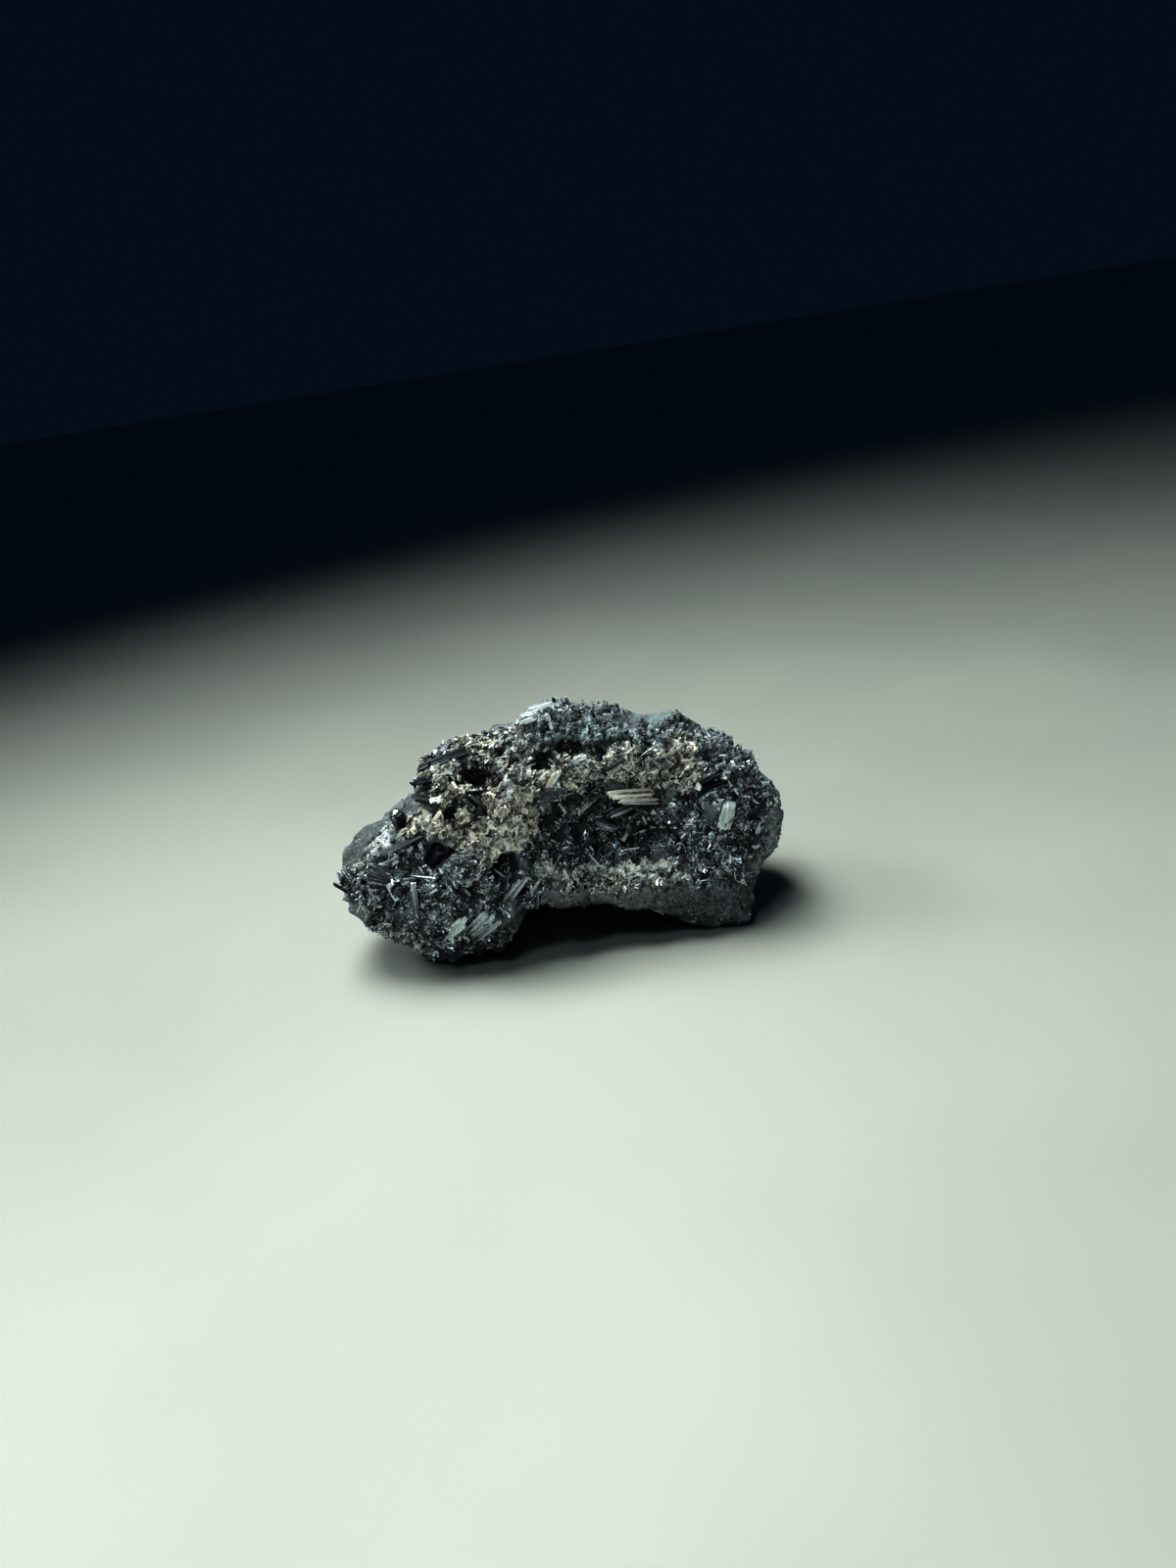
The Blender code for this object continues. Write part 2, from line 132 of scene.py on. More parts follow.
# Open crust, with pits and the walls between them.
CRUSTY_ZONES = ("boxwork", "tan_ridge", "shards", "crest", "beak", "slope_behind", "right_top", "vug_lip")
# Here the rock's skin is split once more, to carry finer relief.
FINE_ZONES = ("boxwork", "tan_ridge", "shards", "beak", "sugar", "right_top", "vug_lip", "blue", "lime_patch")

# How much tan earth, blue bloom and lime film the zones bring, as (share, zones).
FILMS = {
    "tan": (
        (1.5, ("tan_ridge", "shards")), (1.1, ("boxwork", "beak")), (0.6, ("vug_lip",)),
        (0.4, ("sugar", "rim", "slope_behind")), (0.1, ("flank",)),
    ),
    "blue": ((1.4, ("blue", "notch")), (0.3, ("boxwork",))),
    "lime": ((1, ("lime_patch",)), (0.25, ("boxwork", "vug_lip", "shards"))),
}
# How much lighter or darker the rock, and what grows on it, is in these zones, in the same way.
# The darker rows for the rim, the right foot and the space under the lobe are painted shade.
ROCK_TONES = (
    (-0.15, ("flank",)), (0.2, ("notch",)), (0.35, ("right_end",)), (-0.18, PAINTED_SHADE_ZONES),
    (0.5, ("lime_patch",)),
)
GROWN_TONES = ((0.4, ("lime_patch",)), (-0.18, PAINTED_SHADE_ZONES), (-0.4, ("under_lobe",)))
# The names under which the rock's films, its pits and its tone reach its material.
ROCK_MASKS = (*FILMS, "depth", "shade")

# Holes that go deeper than the rock's own hollows: centre, radius and depth, in millimetres.
HOLES = (
    ((-11.6, -17.4, 20.2), 3.6, 2.6),
    ((-18, -18.7, 17), 2.4, 2.2),
    ((-13.7, -9.4, 36.6), 4.2, 3),
    ((-1.4, -9.6, 37), 2.4, 3),
    ((4.4, -8.4, 38.4), 2.8, 3),
    ((9.6, -9.6, 37), 2.2, 2.6),
    ((19.6, -11.6, 36.4), 1.6, 1.4),
    ((32.6, -10, 32.4), 3, 2),
    ((37.8, -14.6, 21.4), 2.2, 1.6),
)

# Ways that crystals run: up to the right, and out to the beak's tip.
RISING = (0.6, -0.2, 0.8)
BEAKWARD = (-0.9, -0.3, 0.2)
# A flat side looks off the ground, turned by these shares towards the lamps in front and any way at all.
GLEAM = (-0.1, -0.5, 0.85)
GLEAM_SHARE = 0.7
STRAY_SHARE = 1.3
# The two shapes of the beta distribution that a sheaf's tone is drawn from: most are dark or bright.
TONES = (0.4, 0.45)
# A piece whose coat is above this has the finish of coated crystals.
COATED = 0.5

# What grows where. Lengths and widths are ranges in millimetres, thick is a share of the width, lean is the
# angle off the ground in degrees, sheaf is how many stand side by side the same way, spread is how far they
# stray from it in degrees, and coat is the share of sheaves under a pale crust. Some run one way, and some
# have tones of their own.
DRUSE = {
    "lobe_blades": dict(
        zones=("lobe",), shape="blade", count=420, length=(1.6, 4.6), width=(0.35, 1.2), thick=(0.3, 0.5),
        lean=(0, 35), sheaf=3, spread=6, coat=0.06, run=RISING,
    ),
    "lobe_laths": dict(
        zones=("lobe", "back_pockets"), shape="lath", count=2600, length=(0.8, 2.8), width=(0.16, 0.7),
        thick=(0.3, 0.6), lean=(0, 26), sheaf=3, spread=9, coat=0.18, tones=(0.5, 0.4),
    ),
    "lobe_splinters": dict(
        zones=("lobe", "lobe_foot"), shape="splinter", count=7600, length=(0.35, 1.3), width=(0.14, 0.5),
        thick=(0.4, 0.9), lean=(0, 26), sheaf=3, spread=14, coat=0.3, tones=(0.6, 0.35),
    ),
    "vug_blades": dict(
        zones=("vug", "right_field"), shape="blade", count=380, length=(1.4, 4.4), width=(0.3, 1.4),
        thick=(0.2, 0.5), lean=(5, 45), sheaf=2, spread=8, coat=0.12,
    ),
    "vug_needles": dict(
        zones=("vug", "right_field"), shape="needle", count=3000, length=(0.7, 3), width=(0.1, 0.35),
        thick=(0.5, 0.9), lean=(5, 60), sheaf=3, spread=14, coat=0.1,
    ),
    "field_splinters": dict(
        zones=("vug", "right_field", "right_top", "back_pockets"), shape="splinter", count=7900,
        length=(0.3, 1.3), width=(0.14, 0.6), thick=(0.3, 0.9), lean=(0, 50), sheaf=2, spread=16, coat=0.2,
        tones=(0.35, 0.45),
    ),
    "lip_splinters": dict(
        zones=("vug_lip", "right_field"), shape="splinter", count=4200, length=(0.35, 1.6), width=(0.14, 0.6),
        thick=(0.2, 0.5), lean=(0, 50), sheaf=2, spread=14, coat=0.5, tones=(0.6, 0.35),
    ),
    # Tiny grains under a pale crust: pale flakes, and painted glints where the druse sparkles.
    "glitter": dict(
        zones=("vug", "right_field", "right_top", "vug_lip", "lobe", "back_pockets"), shape="grain",
        count=7600, length=(0.16, 0.6), width=(0.14, 0.5), thick=(0.4, 0.9), lean=(0, 90), sheaf=2, spread=40,
        coat=1.5, tones=(6, 0.5),
    ),
    "beak_plates": dict(
        zones=("beak", "shards"), shape="blade", count=150, length=(1.8, 5), width=(0.6, 2),
        thick=(0.12, 0.25), lean=(0, 25), sheaf=2, spread=7, coat=0.1, run=BEAKWARD, tones=(0.3, 1.2),
    ),
    "ridge_laths": dict(
        zones=("beak", "shards", "boxwork", "tan_ridge"), shape="lath", count=800, length=(0.9, 3.4),
        width=(0.25, 1.2), thick=(0.2, 0.4), lean=(3, 40), sheaf=3, spread=10, coat=0.55, run=RISING,
    ),
    "ridge_splinters": dict(
        zones=("beak", "shards", "boxwork", "tan_ridge", "crest", "right_top"), shape="splinter", count=3000,
        length=(0.4, 1.8), width=(0.14, 0.7), thick=(0.25, 0.6), lean=(0, 55), sheaf=2, spread=16, coat=0.7,
    ),
}

# Broken chips and grains of the rock itself, which take the colour of the ground they lie on.
RUBBLE = {
    "crust_chips": dict(
        zones=("tan_ridge", "shards", "boxwork", "crest", "beak", "slope_behind"), shape="chip", count=4200,
        length=(0.35, 1.6), width=(0.35, 1.4), thick=(0.15, 0.4), lean=(0, 60), sheaf=1, spread=25,
        tones=(0.42, 0.5),
    ),
    "crust_splinters": dict(
        zones=("tan_ridge", "shards", "boxwork", "lime_patch", "blue"), shape="splinter", count=5400,
        length=(0.3, 1.1), width=(0.16, 0.5), thick=(0.3, 0.7), lean=(0, 35), sheaf=4, spread=8, run=RISING,
        tones=(0.42, 0.5),
    ),
    "crust_grains": dict(
        zones=(
            "tan_ridge", "shards", "boxwork", "crest", "beak", "right_top", "blue", "slope_behind",
            "back_pockets",
        ),
        shape="grain", count=9800, length=(0.25, 1.2), width=(0.25, 1.2), thick=(0.7, 1), lean=(0, 90),
        sheaf=1, spread=30, tones=(0.42, 0.5),
    ),
    "sugar_grains": dict(
        zones=("sugar", "lobe_foot", "right_end", "right_top"), shape="grain", count=4500, length=(0.2, 0.9),
        width=(0.2, 0.9), thick=(0.7, 1), lean=(0, 90), sheaf=1, spread=30,
    ),
    "rim_grains": dict(
        zones=("rim", "right_foot"), shape="grain", count=2000, length=(0.2, 0.8), width=(0.2, 0.8),
        thick=(0.5, 1), lean=(0, 90), sheaf=1, spread=30, tones=(1, 3),
    ),
    "fine_grains": dict(
        zones=("flank", "right_end"), shape="grain", count=2600, length=(0.15, 0.5),
        width=(0.15, 0.5), thick=(0.7, 1), lean=(0, 90), sheaf=1, spread=30, tones=(4, 4),
    ),
}

# The crystals that stand out, as the CAD has them: how much crust each carries, how bright it is, and its
# laths, each with its root, tip, width and thickness in millimetres and the way its flat side looks.
# CAD_SHIFT is the CAD's own centring, in millimetres.
CAD_SHIFT = Vector((-0.13, -2.54, 0))
STANDING = {
    "coated_prism": (1.3, 1, (((31.4, -15.2, 21.2), (33.2, -15.8, 26.4), 2.6, 2.2, (0, -1, 0.1)),)),
    "ledge_lath": (0.8, 0.5, (
        ((18.6, -8.6, 27.8), (9.8, -11.6, 30), 2, 1.1, (0.1, -0.5, 0.9)),
        ((20, -9.2, 26), (11.8, -12.2, 28.7), 1.2, 0.9, (0.1, -0.8, 0.6)),
    )),
    "vug_lath_right": (0.5, 0.3, (((15.6, -4, 23.8), (9.4, -8.2, 24.1), 1.8, 1, (-0.2, -0.8, 0.5)),)),
    "vug_lath_left": (0.5, 0.3, (((8.6, -4.4, 26.6), (4, -8.4, 25.4), 1.5, 0.9, (0.2, -0.7, 0.6)),)),
    "upper_left_blade": (0, 0.1, (
        ((-25.8, -12.8, 22.2), (-22.4, -17.4, 27.8), 3, 1.8, (-0.5, -0.8, 0.3)),
        ((-23.4, -13.4, 22.6), (-20.6, -17.2, 26.8), 2.4, 1.6, (0.5, -0.8, 0.3)),
    )),
    "left_lath": (0.35, 0.5, (((-29.5, -17.2, 14), (-28.7, -18.4, 21.6), 1.4, 1.1, (-0.1, -1, 0.2)),)),
    "beak_blades": (0, 0.1, (
        ((-16.4, -8.4, 36.4), (-26, -11, 38.9), 2.4, 0.8, (-0.4, -0.5, 0.8)),
        ((-17.4, -9, 34.8), (-25.4, -12, 37.6), 2.2, 0.8, (-0.4, -0.8, 0.5)),
        ((-19.4, -9.8, 32.6), (-26.8, -11, 36.2), 2, 0.8, (-0.5, -0.8, 0.3)),
    )),
    "beak_long_blade": (0, 0.15, (((-15.4, -3.6, 40.6), (-25.2, -8.6, 40), 2, 0.8, (-0.4, -0.8, 0.4)),)),
    "crest_laths": (0.7, 0.8, (
        ((4.4, 1.2, 45.4), (-4.2, 0.2, 44.2), 1.1, 0.9, (-0.2, -0.7, 0.7)),
        ((3, 0, 44.4), (-5, -1, 43.2), 1.1, 0.9, (-0.2, -0.8, 0.6)),
        ((2.6, 1.8, 45.8), (-2.6, 1, 45.2), 1, 0.8, (-0.2, -0.6, 0.8)),
    )),
    "left_fan": (0.35, 0.4, (
        ((-31.6, -14.6, 20), (-38, -14.6, 24), 1.7, 0.9, (-0.3, -0.8, 0.5)),
        ((-31.4, -14.4, 20.2), (-37, -13.8, 24.8), 1.6, 0.9, (-0.3, -0.7, 0.7)),
        ((-31.8, -14.8, 19.8), (-38.4, -15.2, 22.6), 1.7, 0.9, (-0.2, -0.9, 0.3)),
    )),
    "glossy_blades": (0.5, 1.2, (
        ((-20.2, -17.4, 7.4), (-14.2, -20.2, 13), 1.5, 1, (0.3, -0.9, 0.3)),
        ((-20.8, -17.4, 8.4), (-15.4, -20.4, 14.2), 1.5, 1, (0.1, -0.8, 0.5)),
        ((-19.6, -17.2, 6.6), (-13.4, -19.8, 11.6), 1.4, 1, (0.4, -0.9, 0.1)),
    )),
    "low_blades": (0.7, 1.2, (
        ((-25.4, -17, 8.4), (-19.8, -20.2, 13.4), 1.5, 1, (0.2, -0.9, 0.3)),
        ((-25.2, -17, 7.6), (-20.4, -20, 11.8), 1.4, 1, (0.4, -0.9, 0.1)),
    )),
    "dark_prism": (0, 0, (
        ((27.4, -12.2, 28), (33.4, -15, 30.4), 1.8, 1.6, (0, -0.9, 0.5)),
        ((27, -12.4, 29.4), (32.6, -14.6, 32.6), 1, 0.9, (-0.2, -0.8, 0.6)),
    )),
    "right_lath": (0.4, 0.2, (((30.8, -13.2, 21.4), (26.2, -15, 26.8), 1.1, 0.8, (-0.3, -0.9, 0.1)),)),
    "pale_pair": (1, 1, (
        ((-0.2, -10.4, 33.2), (2.4, -12.7, 37.2), 0.8, 0.7, (0.3, -0.8, 0.5)),
        ((-0.9, -10.4, 33.2), (1.5, -12.8, 37), 0.7, 0.7, (0.1, -0.8, 0.5)),
    )),
    "flank_block": (0.3, 0.2, (((-30.4, -6, 27.6), (-30.7, -8.6, 32.4), 3, 2.4, (-0.6, -0.7, 0.2)),)),
    "lobe_prism": (0, 0.2, (
        ((-33.2, -14.6, 17.2), (-32, -18.6, 21.2), 1.9, 1.7, (-0.6, -0.8, 0)),
        ((-32.4, -14.8, 16.8), (-31, -18.4, 20.4), 1.7, 1.5, (0.6, -0.8, 0)),
    )),
    "pale_blade": (0.6, 0.6, (((-12.4, -16.8, 13.2), (-7.2, -18.6, 19.4), 1.7, 0.8, (0.4, -0.9, 0.1)),)),
    "flank_plate": (0.2, 0.3, (((-24.2, -12, 29), (-36.4, -12.8, 25), 2.8, 0.5, (-0.3, 0, 0.95)),)),
    "ridge_blades": (0, 0.2, (
        ((-13.2, -14, 30.8), (-16.8, -14.8, 36.6), 1.5, 1, (0, -0.9, 0.5)),
        ((-12.4, -14.2, 31.2), (-15.8, -15, 36.2), 1.4, 1, (0.2, -0.9, 0.4)),
    )),
    "vug_lath_low": (0.6, 0.6, (((-4.2, -10.6, 15.6), (-3.2, -13.4, 21.6), 1.3, 0.9, (0.6, -0.8, 0.1)),)),
}

# Small crystals placed one by one: shape, root, tip, width, thickness, the way the flat side looks, shade
# and coat. They are where the finished object has them, so CAD_SHIFT isn't added.
PICKED = {
    "high_pin": ("needle", (-30.3, -17.8, 21.7), (-23.9, -19.8, 20.8), 0.4, 0.3, (-0.2, -0.8, 0.5), 0.5, 0.2),
    "long_needle": ("needle", (9.9, -10, 15.8), (14.8, -10.8, 16.2), 0.4, 0.3, (0, -0.5, 0.9), 1, 0.9),
    "lip_needle": ("needle", (13.6, -10.8, 15.6), (16.9, -13, 15.8), 0.25, 0.2, (0, -0.5, 0.9), 0.6, 0.3),
    "vug_needle": ("needle", (-2.5, -12.6, 20.4), (2.3, -11.2, 17.2), 0.3, 0.3, (0.4, -0.6, 0.6), 0.7, 0.3),
    "short_needle": ("needle", (5, -10.8, 16.4), (6.4, -13.8, 15.4), 0.4, 0.3, (0.1, -0.4, 0.9), 1, 0.9),
    "vug_chip": ("lath", (3.1, -10, 17.4), (6.2, -8.2, 18.4), 1, 0.4, (0, -0.6, 0.8), 0.4, 0.2),
    "vug_pin": ("needle", (-2.1, -15, 17.4), (-0.6, -12.8, 18.2), 0.4, 0.3, (0.5, -0.5, 0.6), 0.8, 0.5),
    "roof_chip": ("lath", (0.5, -9, 28), (1.6, -8, 25), 0.6, 0.3, (0.3, -0.9, 0.1), 0.8, 0.6),
    "right_needle": ("needle", (33.2, -16.4, 30.2), (34.8, -16.4, 27), 0.5, 0.3, (0.2, -0.8, 0.5), 0.9, 0.7),
    # The pale crust on this bright lath is a painted highlight, in place of a glint.
    "painted_glint_facet": ("lath", (-34, -17.8, 20.6), (-33, -19, 18), 1.5, 0.6, (-0.1, -0.9, -0.1), 1, 0.75),
    "dark_facet": ("lath", (-32.6, -17.6, 20.6), (-31.6, -19.2, 18), 1.4, 0.6, (0.3, -0.9, 0.2), 0, 0),
    "tip_grain": ("grain", (-42.6, -12.4, 16), (-43.6, -14.6, 17), 1.6, 1.4, (-0.5, -0.8, 0.2), 0.3, 0.4),
    "dark_wedge": ("lath", (-22.6, -15.4, 29.6), (-19.6, -16.6, 33), 2, 1, (0.4, -0.8, 0.4), 0, 0),
    "pale_wedge": ("lath", (-24, -15.4, 30.4), (-21.6, -16.6, 33), 1, 0.6, (-0.3, -0.6, 0.7), 1, 0.8),
    "beak_facet": ("lath", (-18.4, -10.8, 38.4), (-21.8, -10.8, 39.8), 1.4, 0.4, (0.2, -0.6, 0.8), 1, 0.8),
    "vug_plate": ("blade", (7.3, -5.4, 21), (10.4, -6, 19), 1.7, 0.5, (0.1, -0.7, 0.6), 0.5, 0.4),
    "crest_spike": ("lath", (1.6, -5.2, 41.8), (1.1, -4.4, 44.6), 0.8, 0.4, (0, -0.9, 0.4), 1, 0.9),
    "pore_edge": ("lath", (17.4, -11.8, 35.6), (20, -10.8, 36.9), 0.25, 0.25, (0, -0.7, 0.6), 0.5, 0.4),
    "pore_lath": ("lath", (10, -12.4, 34.2), (14.3, -12.6, 36), 0.8, 0.5, (0, -0.8, 0.5), 0.1, 0),
    "curved_grain": ("lath", (8, -10.8, 36), (9.4, -11.8, 34.8), 0.6, 0.4, (-0.2, -0.8, 0.5), 0.5, 0.5),
    "shard_a": ("lath", (-18.6, -12.6, 37.2), (-17.6, -14.4, 35.6), 0.7, 0.4, (0.3, -0.7, 0.6), 1, 0.9),
    "shard_b": ("lath", (-17, -13.6, 36.2), (-16.4, -15, 34.4), 0.6, 0.4, (0, -0.7, 0.7), 1, 0.9),
    "lobe_blade_a": ("blade", (-9, -18.6, 11.4), (-5.4, -19.8, 14.6), 1, 0.5, (0.3, -0.9, -0.1), 0.9, 0.3),
    "lobe_blade_b": ("blade", (-8.2, -19, 13), (-5.6, -19.2, 16.4), 0.8, 0.4, (0.3, -0.9, -0.1), 0.8, 0.5),
    "cave_blade": ("blade", (-13.6, -17.6, 20), (-11.2, -18.4, 17.6), 0.5, 0.3, (0.2, -0.9, 0.3), 0.8, 0.4),
    "dark_plate": ("blade", (-32, -16.4, 20.6), (-39, -15.2, 20.8), 1.8, 0.5, (-0.2, -0.8, 0.5), 0, 0),
}


def linear(hex_colour):
    """An sRGB hex colour as linear RGBA."""
    parts = [int(hex_colour[i : i + 2], 16) / 255 for i in (1, 3, 5)]
    return (*[c / 12.92 if c <= 0.04045 else ((c + 0.055) / 1.055) ** 2.4 for c in parts], 1)


def colour_property(name, hex_colour, description):
    return FloatVectorProperty(
        name=name, description=description, subtype="COLOR", size=4, min=0, max=1, default=linear(hex_colour)
    )


def node(tree, kind, inputs, output, **settings):
    """Adds a node with its settings and returns one of its outputs. Each input is a value or a socket."""
    made = tree.nodes.new(kind)
    for name, value in settings.items():
        setattr(made, name, value)
    for name, value in inputs.items():
        if isinstance(value, bpy.types.NodeSocket):
            tree.links.new(value, made.inputs[name])
        else:
            made.inputs[name].default_value = value
    return made.outputs[output]


def new_material(name):
    """An empty node material, with the socket of its output node that takes the shader."""
    made = bpy.data.materials.new(name)
    made.use_nodes = True
    made.node_tree.nodes.clear()
    return made, made.node_tree, made.node_tree.nodes.new("ShaderNodeOutputMaterial").inputs["Surface"]


# A Mix node has the sockets of all its modes under the same names, so its colour sockets go by number.
SHARE, UNDER, OVER, MIXED = 0, 6, 7, 2


def massive_oxide(settings):
    """Massive manganese oxide, broken and weathered: a dull dark grey ground of fine grains, with tan earth,
    a blue-grey bloom on the crest and a pale lime film in its pores. It is too rough to give a clear glint."""
    made, tree, surface = new_material("massive_manganese_oxide")
    place = node(tree, "ShaderNodeTexCoord", {}, "Object")
    masks = {name: node(tree, "ShaderNodeAttribute", {}, "Fac", attribute_name=name) for name in ROCK_MASKS}
    # Blotches 3 mm across, grains 0.5 mm across, and sparkling grains 0.35 mm across.
    blotch = {"Vector": place, "Scale": 1 / (3 * MM), "Detail": 6.0, "Roughness": 0.65}
    blotch = node(tree, "ShaderNodeTexNoise", blotch, "Fac")
    grain = {"Vector": place, "Scale": 1 / (0.5 * MM), "Detail": 3.0, "Roughness": 0.7}
    grain = node(tree, "ShaderNodeTexNoise", grain, "Fac")
    sparkle = node(tree, "ShaderNodeTexVoronoi", {"Vector": place, "Scale": 1 / (0.35 * MM)}, "Color")
    sparkle = node(tree, "ShaderNodeSeparateColor", {"Color": sparkle}, "Red")
    blotch = {"Value": blotch, "From Min": 0.35, "From Max": 0.65}
    fleck = {"Value": grain, "From Min": 0.36, "From Max": 0.66}
    tone = {"Value": masks["shade"], "To Min": settings.tone_low, "To Max": settings.tone_high}
    # One sparkling grain in eight is paler and smoother than the rest.
    bright = {"Value": sparkle, "From Min": 0.86, "From Max": 0.95}
    speck = {**bright, "To Max": 0.12}
    rough = {**bright, "To Min": 0.8, "To Max": 0.45}
    blotch, fleck, tone, speck, rough = (
        node(tree, "ShaderNodeMapRange", ends, "Result") for ends in (blotch, fleck, tone, speck, rough)
    )
    ashen = node(tree, "ShaderNodeMapRange", {"Value": fleck, "To Max": 0.6}, "Result")
    grounds = (
        (blotch, settings.dark, settings.grey),
        (fleck, settings.tan_dark, settings.tan),
        (fleck, settings.blue_dark, settings.blue),
    )
    colour, earth, bloom = (
        node(tree, "ShaderNodeMix", {SHARE: share, UNDER: low, OVER: high}, MIXED, data_type="RGBA")
        for share, low, high in grounds
    )
    # Pale grains and the films lie over the bare grey rock. The tone, partly painted shade, then lights or
    # darkens the lot.
    films = (
        (ashen, settings.ash), (masks["tan"], earth), (masks["blue"], bloom), (masks["lime"], settings.lime),
    )
    for share, film in films:
        layer = {SHARE: share, UNDER: colour, OVER: film}
        colour = node(tree, "ShaderNodeMix", layer, MIXED, data_type="RGBA")
    toned = {SHARE: 1.0, UNDER: colour, OVER: tone}
    colour = node(
        tree, "ShaderNodeMix", toned, MIXED, data_type="RGBA", blend_type="MULTIPLY", clamp_result=True
    )
    # Painted shade fills the pits and holes with the dark colour, and then the paler grains are specked over
    # all.
    for share, film in ((masks["depth"], settings.dark), (speck, settings.ash)):
        layer = {SHARE: share, UNDER: colour, OVER: film}
        colour = node(tree, "ShaderNodeMix", layer, MIXED, data_type="RGBA")
    bump = node(tree, "ShaderNodeBump", {"Height": grain, "Strength": 0.9, "Distance": 0.25 * MM}, "Normal")
    finish = {"Base Color": colour, "Roughness": rough, "Normal": bump}
    tree.links.new(node(tree, "ShaderNodeBsdfPrincipled", finish, "BSDF"), surface)
    return made


def striated_manganite(settings):
    """Manganite grown in the open: a submetallic iron-black to steel-grey crystal with fine grooves along its
    length, which break each glint into streaks. Where a crystal has a crust, it is pale, dull and patchy."""
    made, tree, surface = new_material("striated_manganite")
    lath = node(tree, "ShaderNodeAttribute", {}, "Vector", attribute_name="lath")
    shade, coat, tan = (
        node(tree, "ShaderNodeAttribute", {}, "Fac", attribute_name=name) for name in ("shade", "coat", "tan")
    )
    # The lath's own coordinates are in millimetres: grooves 0.25 mm apart that run 4 mm along it.
    groove = node(tree, "ShaderNodeMapping", {"Vector": lath, "Scale": (4, 4, 0.25)}, "Vector")
    groove = {"Vector": groove, "Scale": 1.0, "Detail": 3.0, "Roughness": 0.6}
    groove = node(tree, "ShaderNodeTexNoise", groove, "Fac")
    crumb = node(tree, "ShaderNodeMapping", {"Vector": lath, "Scale": (3, 3, 1.2)}, "Vector")
    crumb = {"Vector": crumb, "Scale": 1.0, "Detail": 4.0, "Roughness": 0.7}
    crumb = node(tree, "ShaderNodeTexNoise", crumb, "Fac")
    patchy = node(tree, "ShaderNodeMath", {0: coat, 1: crumb}, "Value", operation="ADD")
    dark_streak = {"Value": groove, "From Min": 0.35, "From Max": 0.65, "To Max": 0.4}
    pale_streak = {"Value": groove, "From Min": 0.35, "From Max": 0.62}
    covered = {"Value": patchy, "From Min": 0.85, "From Max": 1.1}
    clean = {"Value": shade, "To Min": 0.4, "To Max": settings.gloss}
    dark_streak, pale_streak, covered, clean = (
        node(tree, "ShaderNodeMapRange", ends, "Result")
        for ends in (dark_streak, pale_streak, covered, clean)
    )
    metallic = node(tree, "ShaderNodeMapRange", {"Value": covered, "To Min": 0.9, "To Max": 0.0}, "Result")
    # Clean faces are smoother the brighter they are, and the crust is rough all over.
    rough = {"Factor": covered, "A": clean, "B": 0.6}
    rough = node(tree, "ShaderNodeMix", rough, "Result", data_type="FLOAT")
    metal, crust = settings.black, settings.crust_dark
    for share, film in ((shade, settings.steel), (dark_streak, settings.black)):
        layer = {SHARE: share, UNDER: metal, OVER: film}
        metal = node(tree, "ShaderNodeMix", layer, MIXED, data_type="RGBA")
    for share, film in ((pale_streak, settings.crust), (tan, settings.crust_tan)):
        layer = {SHARE: share, UNDER: crust, OVER: film}
        crust = node(tree, "ShaderNodeMix", layer, MIXED, data_type="RGBA")
    layer = {SHARE: covered, UNDER: metal, OVER: crust}
    colour = node(tree, "ShaderNodeMix", layer, MIXED, data_type="RGBA")
    bump = node(tree, "ShaderNodeBump", {"Height": groove, "Strength": 0.6, "Distance": 0.12 * MM}, "Normal")
    finish = {"Base Color": colour, "Metallic": metallic, "Roughness": rough, "Normal": bump}
    tree.links.new(node(tree, "ShaderNodeBsdfPrincipled", finish, "BSDF"), surface)
    return made


def pale_stone(settings):
    """A polished pale stone top, plain enough for a studio floor: almost white, with a soft sheen."""
    made, tree, surface = new_material("pale_stone_floor")
    place = node(tree, "ShaderNodeTexCoord", {}, "Object")
    # Clouds 120 mm across, so faint that they only keep the floor from looking painted.
    cloud = node(tree, "ShaderNodeTexNoise", {"Vector": place, "Scale": 1 / (120 * MM), "Detail": 3.0}, "Fac")
    cloud = node(tree, "ShaderNodeMapRange", {"Value": cloud, "From Min": 0.4, "From Max": 0.6}, "Result")
    colour = {SHARE: cloud, UNDER: settings.floor_shade, OVER: settings.floor}
    colour = node(tree, "ShaderNodeMix", colour, MIXED, data_type="RGBA")
    finish = {"Base Color": colour, "Roughness": 0.45, "Specular IOR Level": 0.3}
    tree.links.new(node(tree, "ShaderNodeBsdfPrincipled", finish, "BSDF"), surface)
    return made


def deselect_all():
    bpy.ops.object.select_all(action="DESELECT")


def read_points(mesh):
    flat = np.empty(len(mesh.vertices) * 3, np.float32)
    mesh.vertices.foreach_get("co", flat)
    return flat.reshape(-1, 3).astype(float)


def read_vectors(mesh, name):
    flat = np.empty(len(mesh.vertices) * 3, np.float32)
    mesh.attributes[name].data.foreach_get("vector", flat)
    return flat.reshape(-1, 3).astype(float)


def write_floats(mesh, name, values):
    made = mesh.attributes.new(name, "FLOAT", "POINT")
    made.data.foreach_set("value", np.asarray(values, np.float32))


def write_vectors(mesh, name, values):
    made = mesh.attributes.new(name, "FLOAT_VECTOR", "POINT")
    made.data.foreach_set("vector", np.asarray(values, np.float32).ravel())


def unit(vectors):
    return vectors / np.maximum(np.linalg.norm(vectors, axis=-1, keepdims=True), 1e-12)


def lumps(points, size, shift=0.0):
    """Smooth noise from about -1 to 1, with lumps this many millimetres across. Here and below, the shift
    reads another part of the noise, so that no two patterns agree."""
    return np.array([noise.noise(Vector(p)) for p in points / (size * MM) + shift])


def cell_distance(points, size, shift=0.0):
    """Distance to the nearest of the seeds scattered this many millimetres apart, in those units."""
    return np.array([noise.voronoi(Vector(p))[0][0] for p in points / (size * MM) + shift])


